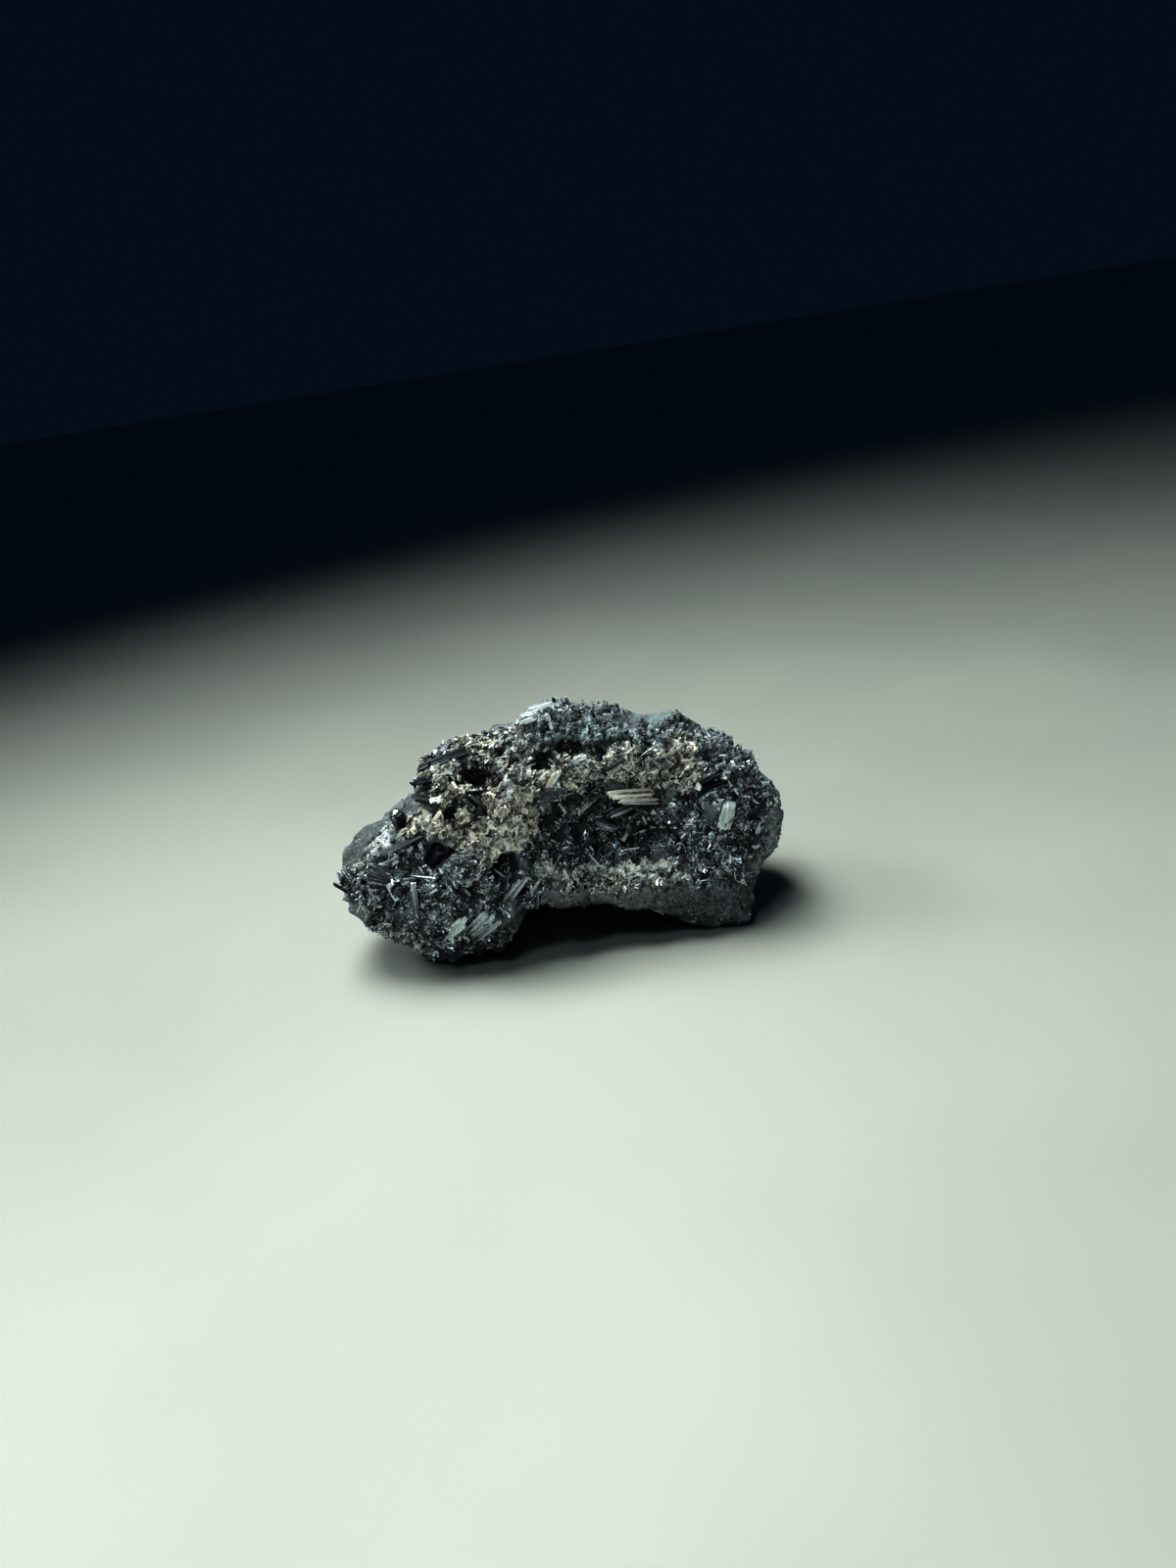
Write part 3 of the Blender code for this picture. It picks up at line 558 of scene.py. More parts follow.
def clumps(points):
    """Where crystals and crust stand in clumps: 1 on a clump and 0 in the gaps, with a soft edge between. The
    clumps are twice as long up to the right as they are wide."""
    run = np.array(RISING) / np.linalg.norm(RISING)
    drawn = points - 0.5 * (points @ run)[:, None] * run
    return np.clip(0.5 + 1.8 * lumps(drawn, 2.3, 12.3) + 1.1 * lumps(drawn, 1.1, 51.7), 0, 1)


def hole_depth(points):
    """How far the deep holes sink each point, in millimetres."""
    depth = np.zeros(len(points))
    for centre, radius, deepest in HOLES:
        away = np.linalg.norm(points - np.array(centre) * MM, axis=1) / (radius * MM)
        depth += deepest * np.exp(-2 * away**2)
    return depth


def in_zones(points, names):
    """How far inside these zones each point lies: 1 near the middle of a dab, 0 outside them all."""
    share = np.zeros(len(points))
    for x, y, z, radius in (dab for name in names for dab in ZONES[name]):
        away = np.linalg.norm(points - np.array((x, y, z)) * MM, axis=1) / (radius * MM)
        share = np.maximum(share, np.clip(2 - 2 * away, 0, 1))
    return share


def zone_sum(points, table):
    """Adds up what each row of (share, zones) brings to each point."""
    return sum(share * in_zones(points, zones) for share, zones in table)


def grown_share(points):
    """1 where any zone lies, and 0 on the broken back, sides and underside."""
    return np.clip(2.5 * in_zones(points, ZONES), 0, 1)


def smooth_share(points):
    """1 where the rock is massive and even, and 0 where it stands in clumps."""
    return np.clip(2 * in_zones(points, (*SMOOTH_ZONES, *BARE_ZONES)), 0, 1)


def copy_of_cad_rock(settings):
    """The CAD rock as one even skin: welded, remeshed finely and eased, ready for its relief."""
    rock = bpy.data.objects.new(ROCK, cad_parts["matrix"].data.copy())
    bpy.context.scene.collection.objects.link(rock)
    deselect_all()
    rock.select_set(True)
    bpy.context.view_layer.objects.active = rock
    # The CAD's triangles are loose, and their corners meet to well within this distance.
    bpy.ops.object.mode_set(mode="EDIT")
    bpy.ops.mesh.select_all(action="SELECT")
    bpy.ops.mesh.remove_doubles(threshold=0.001 * MM)
    bpy.ops.object.mode_set(mode="OBJECT")
    remesh = rock.modifiers.new("skin", "REMESH")
    remesh.mode = "VOXEL"
    remesh.voxel_size = settings.skin
    bpy.ops.object.modifier_apply(modifier="skin")
    refine_crust(rock)
    ease = rock.modifiers.new("ease", "SMOOTH")
    ease.factor = 0.5
    ease.iterations = 6
    bpy.ops.object.modifier_apply(modifier="ease")
    return rock


def refine_crust(rock):
    """Splits the skin where the crust is, so that it can carry sharper relief there."""
    mesh = rock.data
    centres = np.empty(len(mesh.polygons) * 3, np.float32)
    mesh.polygons.foreach_get("center", centres)
    bpy.context.tool_settings.mesh_select_mode = (False, False, True)
    mesh.vertices.foreach_set("select", np.zeros(len(mesh.vertices), bool))
    mesh.edges.foreach_set("select", np.zeros(len(mesh.edges), bool))
    mesh.polygons.foreach_set("select", in_zones(centres.reshape(-1, 3), FINE_ZONES) > 0.1)
    bpy.ops.object.mode_set(mode="EDIT")
    bpy.ops.mesh.subdivide(number_cuts=1)
    bpy.ops.object.mode_set(mode="OBJECT")


def cell_edges(points, size, shift=0.0):
    """Distance from the walls between ragged cells this many millimetres across, in those units."""
    edges = np.empty(len(points))
    for i, p in enumerate(points / (size * MM) + shift):
        seat = Vector(p)
        near = noise.voronoi(seat + 0.35 * noise.noise_vector(seat * 1.7))[0]
        edges[i] = near[1] - near[0]
    return edges


def broken_faces(points, size, shift=0.0):
    """Broken faces this many millimetres across: each slopes its own way, with a small step to the next."""
    heights = np.empty(len(points))
    for i, p in enumerate(points / (size * MM) + shift):
        seat = noise.voronoi(Vector(p))[1][0]
        heights[i] = (Vector(p) - seat).dot(noise.noise_vector(3.7 * seat))
    return heights


def relief(points, settings):
    """How far out each point of the rock moves, in millimetres, and how deep in a pit it is, from 0 to 1."""
    # Grown ground is rougher than the broken back and sides, and crust is the roughest.
    smooth = in_zones(points, SMOOTH_ZONES)
    crusty = np.clip(1.6 * in_zones(points, CRUSTY_ZONES), 0, 1)
    grown = grown_share(points)
    rough = 0.35 + 0.35 * grown + 0.25 * crusty - 0.1 * smooth * grown
    broad = 0.6 * lumps(points, 3) + 0.4 * lumps(points, 1.4, 7.3)
    fine = 0.22 * lumps(points, 0.7, 3.1)
    knobs = 0.5 - cell_distance(points, 1.5, 5.7)
    # Crust opens in patches 4 mm across into pits, with walls between them 2.1 mm apart.
    edges = cell_edges(points, 2.1, 2.4)
    open_here = np.clip(0.5 + 2 * lumps(points, 4, 31.7), 0, 1) * crusty
    pits = np.clip((edges - 0.14) / 0.3, 0, 1) * open_here
    walls = np.clip(1 - edges / 0.2, 0, 1) * crusty
    holes = hole_depth(points)
    # Grown ground stands up in clumps, and broken ground in faces 9 mm across with smaller ones on them.
    clumped = 1.3 * (clumps(points) - 0.55) * (1 - smooth_share(points)) * grown
    clumped += (2.4 * broken_faces(points, 9, 4.4) + 1.1 * broken_faces(points, 3, 8.8)) * (1 - grown)
    out = rough * (broad + fine + 0.5 * knobs) + clumped + 0.4 * walls
    out = out - settings.pit_depth / MM * pits - holes
    return out, np.clip(0.8 * pits + 0.6 * holes, 0, 1)


def ground_colours(points):
    """How much tan earth, blue bloom and lime film lies at each point, from 0 to 1, all in broken patches."""
    broken = lumps(points, 2.2, 19.1)
    patchy = lumps(points, 5, 44.2)
    tan, blue, lime = (zone_sum(points, FILMS[film]) for film in ("tan", "blue", "lime"))
    # The broken back has patches of earth 8 mm across. They fade in over 6 mm behind the middle.
    behind = (1 - grown_share(points)) * np.clip(points[:, 1] / (6 * MM), 0, 1)
    tan = tan + behind * np.clip(2.4 * lumps(points, 8, 63.2), 0, 0.7)
    return {
        "tan": np.clip(tan * (0.9 + 0.9 * broken + 0.5 * patchy), 0, 1),
        "blue": np.clip(blue * (0.8 - 0.9 * broken), 0, 1),
        "lime": np.clip(2.2 * lime - 0.9 + 0.9 * broken, 0, 1),
    }


def rock_shade(points, normals):
    """How light the rock is, from 0 to 1: lighter on clumps, with painted shade in gaps, even where massive.
    """
    grown = grown_share(points)
    plain = np.maximum(smooth_share(points), 1 - grown)
    shade = plain * 0.32 + (1 - plain) * clumps(points) + (0.5 - 0.35 * plain) * lumps(points, 0.8, 61.3)
    shade += 0.25 * (1 - grown) * lumps(points, 5, 33.9) + zone_sum(points, ROCK_TONES)
    # Painted shade: faces that look down are darker.
    shade -= 0.4 * np.clip(-normals[:, 2] - 0.2, 0, 1)
    # Painted shade between the crystals of these zones.
    dark = np.clip(2 * in_zones(points, DARK_ZONES), 0, 1)
    return np.clip(shade * (1 - 0.8 * dark), 0.05, 1)


def shape_rock(settings):
    """The rock, with its skin moved out and in by its relief, and what its material needs at each point."""
    rock = copy_of_cad_rock(settings)
    mesh = rock.data
    points = read_points(mesh)
    normals = np.array([tuple(v.normal) for v in mesh.vertices])
    out, depth = relief(points, settings)
    moved = points + normals * (out * MM)[:, None]
    moved[:, 2] = np.where(points[:, 2] < FOOT_HEIGHT, points[:, 2], np.maximum(moved[:, 2], 0))
    mesh.vertices.foreach_set("co", moved.astype(np.float32).ravel())
    # Crystals take their lean from the broad ground, and not from its relief.
    write_vectors(mesh, "ground", normals)
    write_floats(mesh, "depth", depth)
    write_floats(mesh, "shade", rock_shade(points, normals))
    for film, values in ground_colours(points).items():
        write_floats(mesh, film, values)
    mesh.update()
    bpy.ops.object.shade_smooth()
    return rock


def rock_ground():
    """The rock's triangles: their corners, and the way the broad ground under each looks."""
    mesh = bpy.data.objects[ROCK].data
    mesh.calc_loop_triangles()
    corners = np.empty(len(mesh.loop_triangles) * 3, np.int32)
    mesh.loop_triangles.foreach_get("vertices", corners)
    corners = corners.reshape(-1, 3)
    return read_points(mesh)[corners], unit(read_vectors(mesh, "ground")[corners].mean(axis=1))


def unit_shape(name):
    """Models one crystal, chip or grain about 1 across and 1 tall, and returns its points and triangles. What
    stands above 1 is its tip, whose height goes with the width and not the length."""
    deselect_all()
    SHAPES[name]()
    thing = bpy.context.object
    bpy.ops.object.mode_set(mode="EDIT")
    bpy.ops.mesh.select_all(action="SELECT")
    bpy.ops.mesh.normals_make_consistent(inside=False)
    bpy.ops.mesh.quads_convert_to_tris()
    bpy.ops.object.mode_set(mode="OBJECT")
    points = read_points(thing.data)
    faces = np.array([tuple(p.vertices) for p in thing.data.polygons])
    bpy.data.objects.remove(thing)
    return points, faces


def select_verts(test):
    """Selects, in edit mode, the points of the active mesh that pass the test."""
    bpy.ops.object.mode_set(mode="OBJECT")
    mesh = bpy.context.object.data
    for part in (*mesh.polygons, *mesh.edges):
        part.select = False
    for vert in mesh.vertices:
        vert.select = bool(test(vert.co))
    bpy.ops.object.mode_set(mode="EDIT")
    bpy.ops.mesh.select_mode(type="VERT")


def add_column(sides):
    """Adds an upright column 1 across and 1 tall, and leaves it in edit mode, selected all over."""
    bpy.ops.mesh.primitive_cylinder_add(vertices=sides, radius=0.5, depth=1, location=(0, 0, 0.5))
    bpy.ops.object.transform_apply()
    bpy.ops.object.mode_set(mode="EDIT")
    bpy.ops.mesh.select_all(action="SELECT")


def model_lath():
    """A six-sided prism with a chisel end."""
    add_column(6)
    select_verts(lambda co: co.z > 0.9)
    bpy.ops.mesh.extrude_region_move(TRANSFORM_OT_translate={"value": (0, 0, 0.45)})
    bpy.ops.transform.resize(value=(0.8, 0.1, 1))
    bpy.ops.object.mode_set(mode="OBJECT")


def model_blade():
    """A prism of fourteen sides, every other corner drawn in, so that ridges run along it."""
    sides = 14
    add_column(sides)
    select_verts(lambda co: round((math.atan2(co.y, co.x) / math.tau) * sides) % 2 == 1)
    bpy.ops.transform.resize(value=(0.95, 0.8, 1))
    select_verts(lambda co: co.z > 0.9)
    bpy.ops.mesh.extrude_region_move(TRANSFORM_OT_translate={"value": (0.1, 0, 0.4)})
    bpy.ops.transform.resize(value=(0.7, 0.3, 1))
    bpy.ops.object.mode_set(mode="OBJECT")


def model_slab():
    """A striated crystal: a rounded rectangle of twenty corners, ridged, with a stepped, broken end."""
    add_column(len(RIDGES))
    bpy.ops.object.mode_set(mode="OBJECT")
    for vert in bpy.context.object.data.vertices:
        turn = math.atan2(vert.co.y, vert.co.x)
        ridge = RIDGES[round(turn / math.tau * len(RIDGES)) % len(RIDGES)]
        across, through = math.cos(turn), math.sin(turn)
        vert.co.x = 0.5 * math.copysign(abs(across) ** 0.6, across)
        vert.co.y = 0.5 * math.copysign(abs(through) ** 0.5, through) * (1 - 0.09 * ridge)
        if vert.co.z > 0.5:
            vert.co.z += 0.14 * ridge + 0.25 * vert.co.x
    bpy.ops.object.mode_set(mode="EDIT")
    select_verts(lambda co: co.z > 0.8)
    bpy.ops.mesh.extrude_region_move(TRANSFORM_OT_translate={"value": (0.03, 0, 0.14)})
    bpy.ops.transform.resize(value=(0.84, 0.6, 1))
    bpy.ops.object.mode_set(mode="OBJECT")


def model_needle():
    """A four-sided prism that ends in a point."""
    add_column(4)
    select_verts(lambda co: co.z > 0.9)
    bpy.ops.mesh.extrude_region_move(TRANSFORM_OT_translate={"value": (0, 0, 0.8)})
    bpy.ops.mesh.merge(type="CENTER")
    bpy.ops.object.mode_set(mode="OBJECT")


def model_splinter():
    """A four-sided splinter, broken aslant at its end and narrower there."""
    bpy.ops.mesh.primitive_cube_add(size=1, location=(0, 0, 0.5))
    bpy.ops.object.transform_apply()
    select_verts(lambda co: co.z > 0.9)
    bpy.ops.transform.resize(value=(0.7, 0.8, 1))
    select_verts(lambda co: co.z > 0.9 and co.x > 0)
    bpy.ops.transform.translate(value=(0, 0.1, 0.9))
    select_verts(lambda co: co.z < 0.1 and co.y > 0)
    bpy.ops.transform.translate(value=(0.15, 0, 0))
    bpy.ops.object.mode_set(mode="OBJECT")


def model_chip():
    """A thin five-sided chip, as tall as it is long, with uneven corners."""
    add_column(5)
    bpy.ops.transform.rotate(value=math.radians(90), orient_axis="X", center_override=(0, 0, 0.5))
    select_verts(lambda co: co.x > 0.3)
    bpy.ops.transform.translate(value=(0.15, 0.3, 0.2))
    select_verts(lambda co: co.z > 0.8)
    bpy.ops.transform.translate(value=(-0.2, -0.4, 0.3))
    bpy.ops.object.mode_set(mode="OBJECT")


def model_grain():
    """A lopsided six-sided grain."""
    bpy.ops.mesh.primitive_cube_add(size=0.8, location=(0, 0, 0.4))
    bpy.ops.object.transform_apply()
    select_verts(lambda co: co.z > 0.6)
    bpy.ops.transform.resize(value=(0.6, 0.75, 1))
    select_verts(lambda co: co.z > 0.6 and co.x > 0)
    bpy.ops.transform.translate(value=(0.1, 0.05, 0.25))
    select_verts(lambda co: co.z < 0.1 and co.y < 0)
    bpy.ops.transform.translate(value=(-0.15, 0.1, 0))
    bpy.ops.object.mode_set(mode="OBJECT")


# How deep each corner of a slab is drawn in, and how far it stands up at the broken end.
RIDGES = (0, 1, 0.2, 1.6, 0, 0.7, 0.1, 1.3, 0.4, 1, 0, 0.8, 0.2, 1.5, 0.5, 0.9, 0, 1.2, 0.3, 0.6)

SHAPES = {
    "slab": model_slab,
    "blade": model_blade,
    "lath": model_lath,
    "needle": model_needle,
    "splinter": model_splinter,
    "chip": model_chip,
    "grain": model_grain,
}


def grow(name, shape, rods, shade, coat, draw):
    """One joined mesh of copies of a shape. Rods hold each copy's root, direction, flat side, length, width
    and thickness, in metres. A copy that would reach the floor is left out."""
    points, faces = unit_shape(shape)
    roots, along, looks, length, width, thick = rods
    side = unit(np.cross(looks, along))
    out = np.cross(along, side)
    up = np.clip(points[:, 2], 0, 1)
    rise = up * length[:, None] + (points[:, 2] - up) * width[:, None]
    across = points[:, 0] * width[:, None]
    through = points[:, 1] * thick[:, None]
    placed = roots[:, None] + across[..., None] * side[:, None] + through[..., None] * out[:, None]
    placed = placed + rise[..., None] * along[:, None]
    kept = placed[:, :, 2].min(axis=1) > 0
    count = int(kept.sum())
    # Each copy reads its own part of the grooves' noise, up to 90 mm away.
    own = np.stack([across, through, rise], axis=-1)[kept] / MM + draw.uniform(0, 90, (count, 1, 3))
    mesh = bpy.data.meshes.new(name)
    steps = np.arange(count)[:, None, None] * len(points)
    mesh.from_pydata(placed[kept].reshape(-1, 3), [], (faces[None] + steps).reshape(-1, 3))
    write_vectors(mesh, "lath", own)
    # Painted shade: each copy is darker and barer at its root than at its tip, as if its root lay in shade.
    fields = {"shade": np.minimum(shade[:, None] * (0.4 + up), 1), "coat": coat[:, None] * (0.7 + 0.3 * up)}
    for field, values in fields.items():
        write_floats(mesh, field, values[kept].ravel())
    for field, values in ground_colours(roots).items():
        write_floats(mesh, field, np.repeat(values[kept], len(points)))
    made = bpy.data.objects.new(name, mesh)
    bpy.context.scene.collection.objects.link(made)
    return made


def scatter(ground, weights, count, draw):
    """Random points over the rock, more where the weights are high, with the way the ground looks there."""
    corners, looks = ground
    areas = np.linalg.norm(np.cross(corners[:, 1] - corners[:, 0], corners[:, 2] - corners[:, 0]), axis=1)
    chance = areas * weights
    picked = draw.choice(len(corners), count, p=chance / chance.sum())
    one, two = draw.uniform(size=(2, count, 1))
    # A point that falls past the triangle's far side is folded back into it.
    fold = one + two > 1
    one, two = np.where(fold, 1 - one, one), np.where(fold, 1 - two, two)
    first, second, third = corners[picked].transpose(1, 0, 2)
    return first + one * (second - first) + two * (third - first), looks[picked]


def sheaves(ground, weights, plan, count, draw):
    """Crystals that stand in sheaves: which sheaf each is in, and its root, direction, flat side, length and
    width. Each sheaf leans one way off the ground, and its crystals stand side by side across it."""
    size = plan["sheaf"]
    heads, up = scatter(ground, weights, -(-count // size), draw)
    level = unit(np.cross(up, unit(draw.normal(size=heads.shape))))
    if "run" in plan:
        ahead = np.array(plan["run"]) - up * (up @ np.array(plan["run"]))[:, None]
        level = unit(0.8 * level + unit(ahead))
    tilt = np.radians(draw.uniform(*plan["lean"], len(heads)))[:, None]
    along = level * np.cos(tilt) + up * np.sin(tilt)
    looks = up + GLEAM_SHARE * np.array(GLEAM) + STRAY_SHARE * unit(draw.normal(size=heads.shape))
    side = unit(np.cross(along, looks))
    # Most sheaves are small and a few are large.
    growth = draw.uniform(size=len(heads)) ** 4
    width, length = (np.interp(growth, (0, 1), plan[way]) * MM for way in ("width", "length"))
    sheaf = np.repeat(np.arange(len(heads)), size)[:count]
    place = np.tile(np.arange(size), len(heads))[:count] - (size - 1) / 2
    roots = heads[sheaf] + side[sheaf] * (place * 0.8 * width[sheaf])[:, None]
    stray = draw.normal(size=(3, count))
    roots = roots + looks[sheaf] * (stray[0] * 0.2 * width[sheaf])[:, None]
    # Every root is sunk, by about a third of the crystal's width and of its length.
    roots = roots - up[sheaf] * (0.3 * width[sheaf])[:, None]
    roots = roots + along[sheaf] * ((stray[1] * 0.1 - 0.35) * length[sheaf])[:, None]
    turned = unit(along[sheaf] + draw.normal(size=(count, 3)) * math.radians(plan["spread"]) * 0.6)
    faces = looks[sheaf] + side[sheaf] * (stray[2] * 0.25)[:, None]
    sizes = draw.uniform(0.7, 1.1, (2, count))
    return sheaf, (roots, turned, faces, length[sheaf] * sizes[0], width[sheaf] * sizes[1])


def grow_plan(name, plan, settings, seed):
    """Grows one kind of crystal or rubble over its zones, thickest on the clumps and hardly in the holes."""
    draw = np.random.default_rng(seed)
    ground = rock_ground()
    middles = ground[0].mean(axis=1)
    weights = np.clip(3 * in_zones(middles, plan["zones"]), 0, 1)
    weights *= 1 - 0.9 * np.clip(2 * in_zones(middles, BARE_ZONES), 0, 1)
    weights *= (0.12 + 0.88 * clumps(middles)) * np.clip(1 - 0.7 * hole_depth(middles), 0.1, 1)
    count = int(plan["count"] * settings.density)
    sheaf, (roots, along, looks, length, width) = sheaves(ground, weights, plan, count, draw)
    thick = width * draw.uniform(*plan["thick"], count)
    # Sheaves are brighter on clumps, with painted shade in the gaps, and more often coated there.
    stand = clumps(roots)
    tone = draw.beta(*plan.get("tones", TONES), sheaf.max() + 1)[sheaf]
    shade = (0.45 + 0.8 * stand) * tone + draw.normal(size=count) * 0.12
    shade = np.clip(shade + zone_sum(roots, GROWN_TONES), 0, 1)
    # Painted shade: crystals under the lobe carry no crust, so that they stay dark.
    crusted = plan.get("coat", 0) * (0.3 + 1.2 * stand) * (1 - in_zones(roots, ("under_lobe",)))
    coated = draw.uniform(size=sheaf.max() + 1)[sheaf] < crusted
    coat = np.where(coated, draw.uniform(0.45, 0.95, count), 0)
    return grow(name, plan["shape"], (roots, along, looks, length, width, thick), shade, coat, draw)


# A lath's slabs: how far across the lath each sits, how much of its length it reaches, and its shares of the
# lath's width and thickness.
LAMELLAE = (
    (0, 0.96, 0.44, 0.86), (-0.3, 0.84, 0.32, 1), (0.28, 0.92, 0.34, 0.9), (-0.42, 0.7, 0.16, 0.7),
    (0.43, 0.78, 0.14, 0.8), (-0.14, 0.98, 0.22, 0.96), (0.14, 0.88, 0.2, 1),
)


def bundle(name, laths, coat, bright, draw):
    """A standing crystal: each lath is a sheaf of striated slabs that have grown side by side."""
    rods = []
    for root, tip, width, thick, looks in laths:
        root, tip = Vector(root) + CAD_SHIFT, Vector(tip) + CAD_SHIFT
        along = (tip - root).normalized()
        side = along.cross(Vector(looks)).normalized()
        out = side.cross(along)
        for step, reach, share, lift in LAMELLAE:
            start = root + side * step * width + out * draw.uniform(-0.12, 0.04) * thick
            face = out + side * draw.uniform(-0.25, 0.25)
            length = (tip - root).length * reach * draw.uniform(0.9, 1)
            rods.append((*start, *along, *face, length, width * share, thick * lift))
    # Each row holds three vectors, of three numbers each, and then the three sizes.
    rods = np.array(rods)
    sizes = [rods[:, column] * MM for column in (9, 10, 11)]
    shade = np.clip(bright + draw.uniform(-0.3, 0.3, len(rods)), 0, 1)
    crust = np.clip(coat + draw.uniform(-0.3, 0.15, len(rods)), 0, 1) * (coat > 0)
    return grow(name, "slab", (rods[:, 0:3] * MM, rods[:, 3:6], rods[:, 6:9], *sizes), shade, crust, draw)


def place_picked(shape, draw):
    """The small crystals of one shape that are placed one by one, as one mesh."""
    chosen = [plan[1:] for plan in PICKED.values() if plan[0] == shape]
    roots, tips, looks = (np.array([plan[i] for plan in chosen], float) for i in (0, 1, 4))
    width, thick, shade, coat = (np.array([plan[i] for plan in chosen], float) for i in (2, 3, 5, 6))
    length = np.linalg.norm(tips - roots, axis=1)
    rods = (roots * MM, unit(tips - roots), looks, length * MM, width * MM, thick * MM)
    return grow(f"picked_{shape}s", shape, rods, shade, coat, draw)


def finish_piece(piece, material, slot, *nodes):
    """Gives a piece its material, hangs it from the root and hides the CAD nodes it stands for. The slot isn't
    used.
    """
    piece.data.materials.clear()
    piece.data.materials.append(material)
    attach(piece, "root")
    if nodes:
        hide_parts(*nodes)


MADE = {}


def material_once(make, settings):
    """The material that this function makes, made on its first use."""
    name = make.__name__
    if name not in MADE:
        MADE[name] = make(settings)
    return MADE[name]


def length_property(name, metres, description):
    return FloatProperty(name=name, description=description, default=metres, unit="LENGTH")


def share_property(name, share, description, least=0.0, most=1.0):
    return FloatProperty(name=name, description=description, default=share, min=least, max=most)


def power_property(name, watts, description):
    return FloatProperty(name=name, description=description, default=watts, unit="POWER")


class RockSettings(bpy.types.PropertyGroup):
    skin: length_property("Skin step", 0.6 * MM, "Spacing of the rock's skin")
    pit_depth: length_property("Pit depth", 1.1 * MM, "Depth of the pores")
    tone_low: share_property("Darkest tone", 0.05, "Tone of the darkest grains", most=2)
    tone_high: share_property("Lightest tone", 1.5, "Tone of the lightest grains", most=2)
    # Besides the rock's dark blotches, this colour is painted shade in the pits and holes.
    dark: colour_property("Dark", "#080d12", "Fresh oxide in the pits")
    grey: colour_property("Grey", "#848f96", "Weathered oxide")
    ash: colour_property("Ash", "#dbe6ea", "Palest grains")
    tan: colour_property("Tan earth", "#fbf8ea", "Earth on the ridges")
    tan_dark: colour_property("Tan shade", "#b4b3a5", "Earth in the hollows")
    blue: colour_property("Blue bloom", "#9dabab", "Bloom on the crest")
    blue_dark: colour_property("Blue shade", "#6b777a", "Bloom in its hollows")
    lime: colour_property("Lime film", "#f6f6e4", "Pale film in the pores")


class CrystalSettings(bpy.types.PropertyGroup):
    density: share_property("Density", 1, "Share of the full druse", least=0.05, most=1.5)
    seed: IntProperty(name="Seed", description="Start of the random draws", default=11, min=0)
    gloss: share_property("Roughness", 0.16, "Roughness of a clean face")
    black: colour_property("Iron black", "#0a1118", "Darkest crystals")
    steel: colour_property("Steel grey", "#c6d0d8", "Lightest crystals")
    crust: colour_property("Crust", "#f4fcf9", "Pale crust on coated crystals")
    crust_dark: colour_property("Crust shade", "#b4c0c0", "Crust between its streaks")
    crust_tan: colour_property("Tan crust", "#f2efe0", "Crust with earth in it")


class StageSettings(bpy.types.PropertyGroup):
    floor: colour_property("Floor", "#bcbeb6", "Floor colour")
    floor_shade: colour_property("Floor shade", "#b6b8b1", "Floor colour in its clouds")
    overhead: power_property("Overhead", 2.4, "Power of the overhead lamp")
    left_side: power_property("Left side", 0.235, "Power of the left lamp")
    front_high: power_property("Front, high", 0.09, "Power of the lamp high in front")
    front_low: power_property("Front, low", 0.06, "Power of the low strip lamp")
    front_panel: power_property("Front panel", 1, "Power of the front panel")


class SPECIMEN_OT_rock(bpy.types.Operator):
    """Makes the rock from the CAD solid, with its relief and its ground colours"""

    bl_idname = "specimen.rock"
    bl_label = "Rock"

    def execute(self, context):
        settings = context.scene.specimen_rock
        rock = shape_rock(settings)
        finish_piece(rock, material_once(massive_oxide, settings), "rock", "matrix")
        return {"FINISHED"}


class SPECIMEN_OT_standing(bpy.types.Operator):
    """Makes the crystals that stand out of the druse"""

    bl_idname = "specimen.standing"
    bl_label = "Standing crystals"

    def execute(self, context):
        settings = context.scene.specimen_crystals
        draw = np.random.default_rng(settings.seed)
        for name, (coat, bright, laths) in STANDING.items():
            slot = "coated" if coat > COATED else "manganite"
            piece = bundle(f"{name}_bundle", laths, coat, bright, draw)
            finish_piece(piece, material_once(striated_manganite, settings), slot, name)
        return {"FINISHED"}


class SPECIMEN_OT_picked(bpy.types.Operator):
    """Places the small crystals that have their own places"""

    bl_idname = "specimen.picked"
    bl_label = "Picked crystals"

    def execute(self, context):
        settings = context.scene.specimen_crystals
        draw = np.random.default_rng(settings.seed)
        for shape in sorted({plan[0] for plan in PICKED.values()}):
            piece = place_picked(shape, draw)
            finish_piece(piece, material_once(striated_manganite, settings), "manganite")
        return {"FINISHED"}


class SPECIMEN_OT_druse(bpy.types.Operator):
    """Grows the druse: blades, laths, needles and glitter over their zones"""

    bl_idname = "specimen.druse"
    bl_label = "Druse"

    def execute(self, context):
        settings = context.scene.specimen_crystals
        for step, (name, plan) in enumerate(DRUSE.items(), 1):
            piece = grow_plan(name, plan, settings, settings.seed + step)
            slot = "coated" if plan["coat"] > COATED else "manganite"
            finish_piece(piece, material_once(striated_manganite, settings), slot)
        return {"FINISHED"}


# Rubble is drawn from seeds this far on, clear of the druse's.
FIRST_RUBBLE = 101


class SPECIMEN_OT_rubble(bpy.types.Operator):
    """Scatters chips and grains of the rock over its crust"""

    bl_idname = "specimen.rubble"
    bl_label = "Chips and grains"

    def execute(self, context):
        settings = context.scene.specimen_crystals
        rock = context.scene.specimen_rock
        for step, (name, plan) in enumerate(RUBBLE.items(), FIRST_RUBBLE):
            piece = grow_plan(name, plan, settings, settings.seed + step)
            finish_piece(piece, material_once(massive_oxide, rock), "rock")
        return {"FINISHED"}


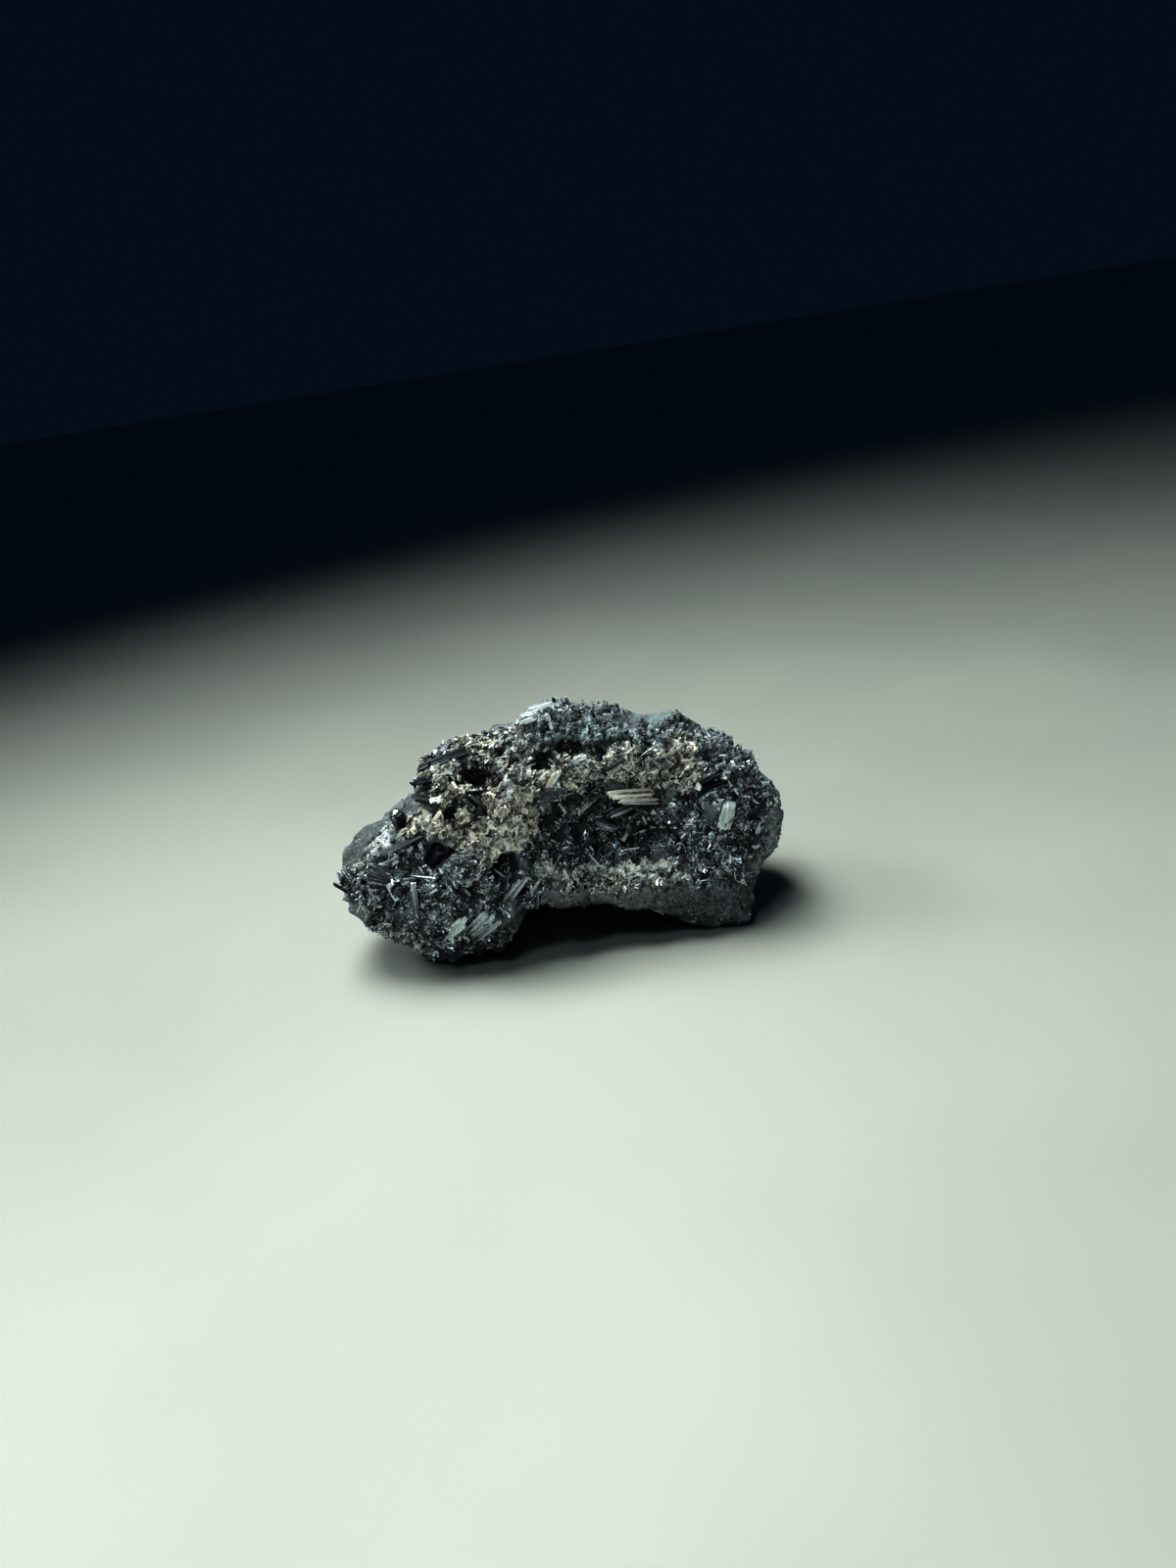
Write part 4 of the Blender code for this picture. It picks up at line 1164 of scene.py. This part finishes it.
class SPECIMEN_OT_stage(bpy.types.Operator):
    """Makes the floor, the lamps and the camera"""

    bl_idname = "specimen.stage"
    bl_label = "Stage"

    def execute(self, context):
        settings = context.scene.specimen_stage
        floor = add_floor(settings)
        lamps = {name: add_lamp(name, getattr(settings, name), **plan) for name, plan in LAMPS.items()}
        spare_the_floor((lamps["front_panel"], lamps["front_low"]), floor)
        add_camera()
        set_world(context.scene)
        return {"FINISHED"}


# The floor's side in metres, wider than the lamps' light reaches.
FLOOR_SIZE = 4


def add_floor(settings):
    """A plain floor of polished stone."""
    deselect_all()
    bpy.ops.mesh.primitive_plane_add(size=FLOOR_SIZE, location=(0, 0, 0))
    floor = bpy.context.object
    floor.name = "floor"
    floor.data.materials.append(pale_stone(settings))
    return floor


# The lamps' colours, in linear light: white that leans to green, pale blue and blue.
GREENISH, PALE_BLUE, BLUE = (0.94, 1, 0.97), (0.8, 0.93, 1), (0.6, 0.85, 1)

# Soft rectangular lamps: where each is, the spot it looks at, its size in metres, the angle its hood lets out
# in degrees, and its colour.
LAMPS = {
    "overhead": dict(
        place=(-0.08, 0.09, 0.5), aim=(0.14, -0.33, 0), size=(0.26, 0.34), hood=145, colour=GREENISH,
    ),
    "left_side": dict(
        place=(-0.48, 0.16, 0.4), aim=(-0.02, -0.14, 0), size=(0.24, 0.24), hood=57, colour=GREENISH,
    ),
    "front_high": dict(
        place=(-0.12, -0.22, 0.5), aim=(0, -0.12, 0), size=(0.12, 0.12), hood=100, colour=PALE_BLUE,
    ),
    "front_low": dict(
        place=(0.08, -0.7, 0.045), aim=(0, 0, 0.025), size=(0.6, 0.03), hood=180, colour=BLUE,
    ),
    "front_panel": dict(
        place=(-0.1, -0.5, 0.34), aim=(0, 0, 0.02), size=(0.34, 0.16), hood=180, colour=GREENISH,
    ),
}


def add_lamp(name, power, place, aim, size, hood, colour):
    """One soft lamp of this power in watts, turned to look at the spot it is aimed at."""
    bpy.ops.object.light_add(type="AREA", location=place)
    lamp = bpy.context.object
    lamp.name = name
    lamp.data.shape = "RECTANGLE"
    lamp.data.size, lamp.data.size_y = size
    lamp.data.spread = math.radians(hood)
    lamp.data.energy = power
    lamp.data.color = colour
    lamp.rotation_mode = "QUATERNION"
    lamp.rotation_quaternion = (Vector(aim) - Vector(place)).to_track_quat("-Z", "Y")
    return lamp


def spare_the_floor(lamps, floor):
    """Keeps these lamps off the floor, so that they leave the stone's shadow as dark as it is."""
    spared = bpy.data.collections.new("spared_by_front_lamps")
    spared.objects.link(floor)
    spared.collection_objects[0].light_linking.link_state = "EXCLUDE"
    for lamp in lamps:
        lamp.light_linking.receiver_collection = spared


def add_camera():
    """A phone's wide lens, close in front of the specimen, looking down and a little askew."""
    bpy.ops.object.camera_add(location=(6.869 * MM, -220.541 * MM, 121 * MM))
    camera = bpy.context.object
    camera.rotation_mode = "ZYX"
    camera.rotation_euler = (math.radians(90 - 23.1), 0, math.radians(-9.1))
    camera.data.sensor_width = 36
    camera.data.lens = 27
    camera.data.clip_start = 0.01
    bpy.context.scene.camera = camera


def set_world(scene):
    """A dim room, so that faces turned away from the lamp stay dark."""
    world = bpy.data.worlds.new("dim_room")
    world.use_nodes = True
    back = world.node_tree.nodes["Background"]
    back.inputs["Color"].default_value = linear("#0a1929")
    back.inputs["Strength"].default_value = 1
    scene.world = world
    scene.view_settings.view_transform = "Standard"
    # More contrast, with the floor kept as bright.
    scene.view_settings.gamma = 0.73
    scene.view_settings.exposure = 0.26


class SPECIMEN_PT_panel(bpy.types.Panel):
    """Lists the specimen's parts and their settings"""

    bl_idname = "SPECIMEN_PT_panel"
    bl_label = "Manganite specimen"
    bl_space_type = "VIEW_3D"
    bl_region_type = "UI"
    bl_category = "Manganite"

    def draw(self, context):
        for operators, group in PARTS:
            box = self.layout.box()
            for operator in operators:
                box.operator(operator.bl_idname)
            settings = getattr(context.scene, group)
            for name in settings.__annotations__:
                box.prop(settings, name)


PARTS = (
    ((SPECIMEN_OT_rock,), "specimen_rock"),
    (
        (SPECIMEN_OT_standing, SPECIMEN_OT_picked, SPECIMEN_OT_druse, SPECIMEN_OT_rubble),
        "specimen_crystals",
    ),
    ((SPECIMEN_OT_stage,), "specimen_stage"),
)
GROUPS = {
    "specimen_rock": RockSettings,
    "specimen_crystals": CrystalSettings,
    "specimen_stage": StageSettings,
}
CLASSES = (
    *GROUPS.values(), SPECIMEN_OT_rock, SPECIMEN_OT_standing, SPECIMEN_OT_picked, SPECIMEN_OT_druse,
    SPECIMEN_OT_rubble, SPECIMEN_OT_stage, SPECIMEN_PT_panel,
)


def register():
    for made in CLASSES:
        bpy.utils.register_class(made)
    for name, group in GROUPS.items():
        setattr(bpy.types.Scene, name, bpy.props.PointerProperty(type=group))


def unregister():
    for name in GROUPS:
        delattr(bpy.types.Scene, name)
    for made in reversed(CLASSES):
        bpy.utils.unregister_class(made)


def main():
    noise.seed_set(NOISE_SEED)
    register()
    deselect_all()
    bpy.ops.specimen.rock()
    bpy.ops.specimen.standing()
    bpy.ops.specimen.picked()
    bpy.ops.specimen.druse()
    bpy.ops.specimen.rubble()
    bpy.ops.specimen.stage()


if __name__ == "__main__":
    main()
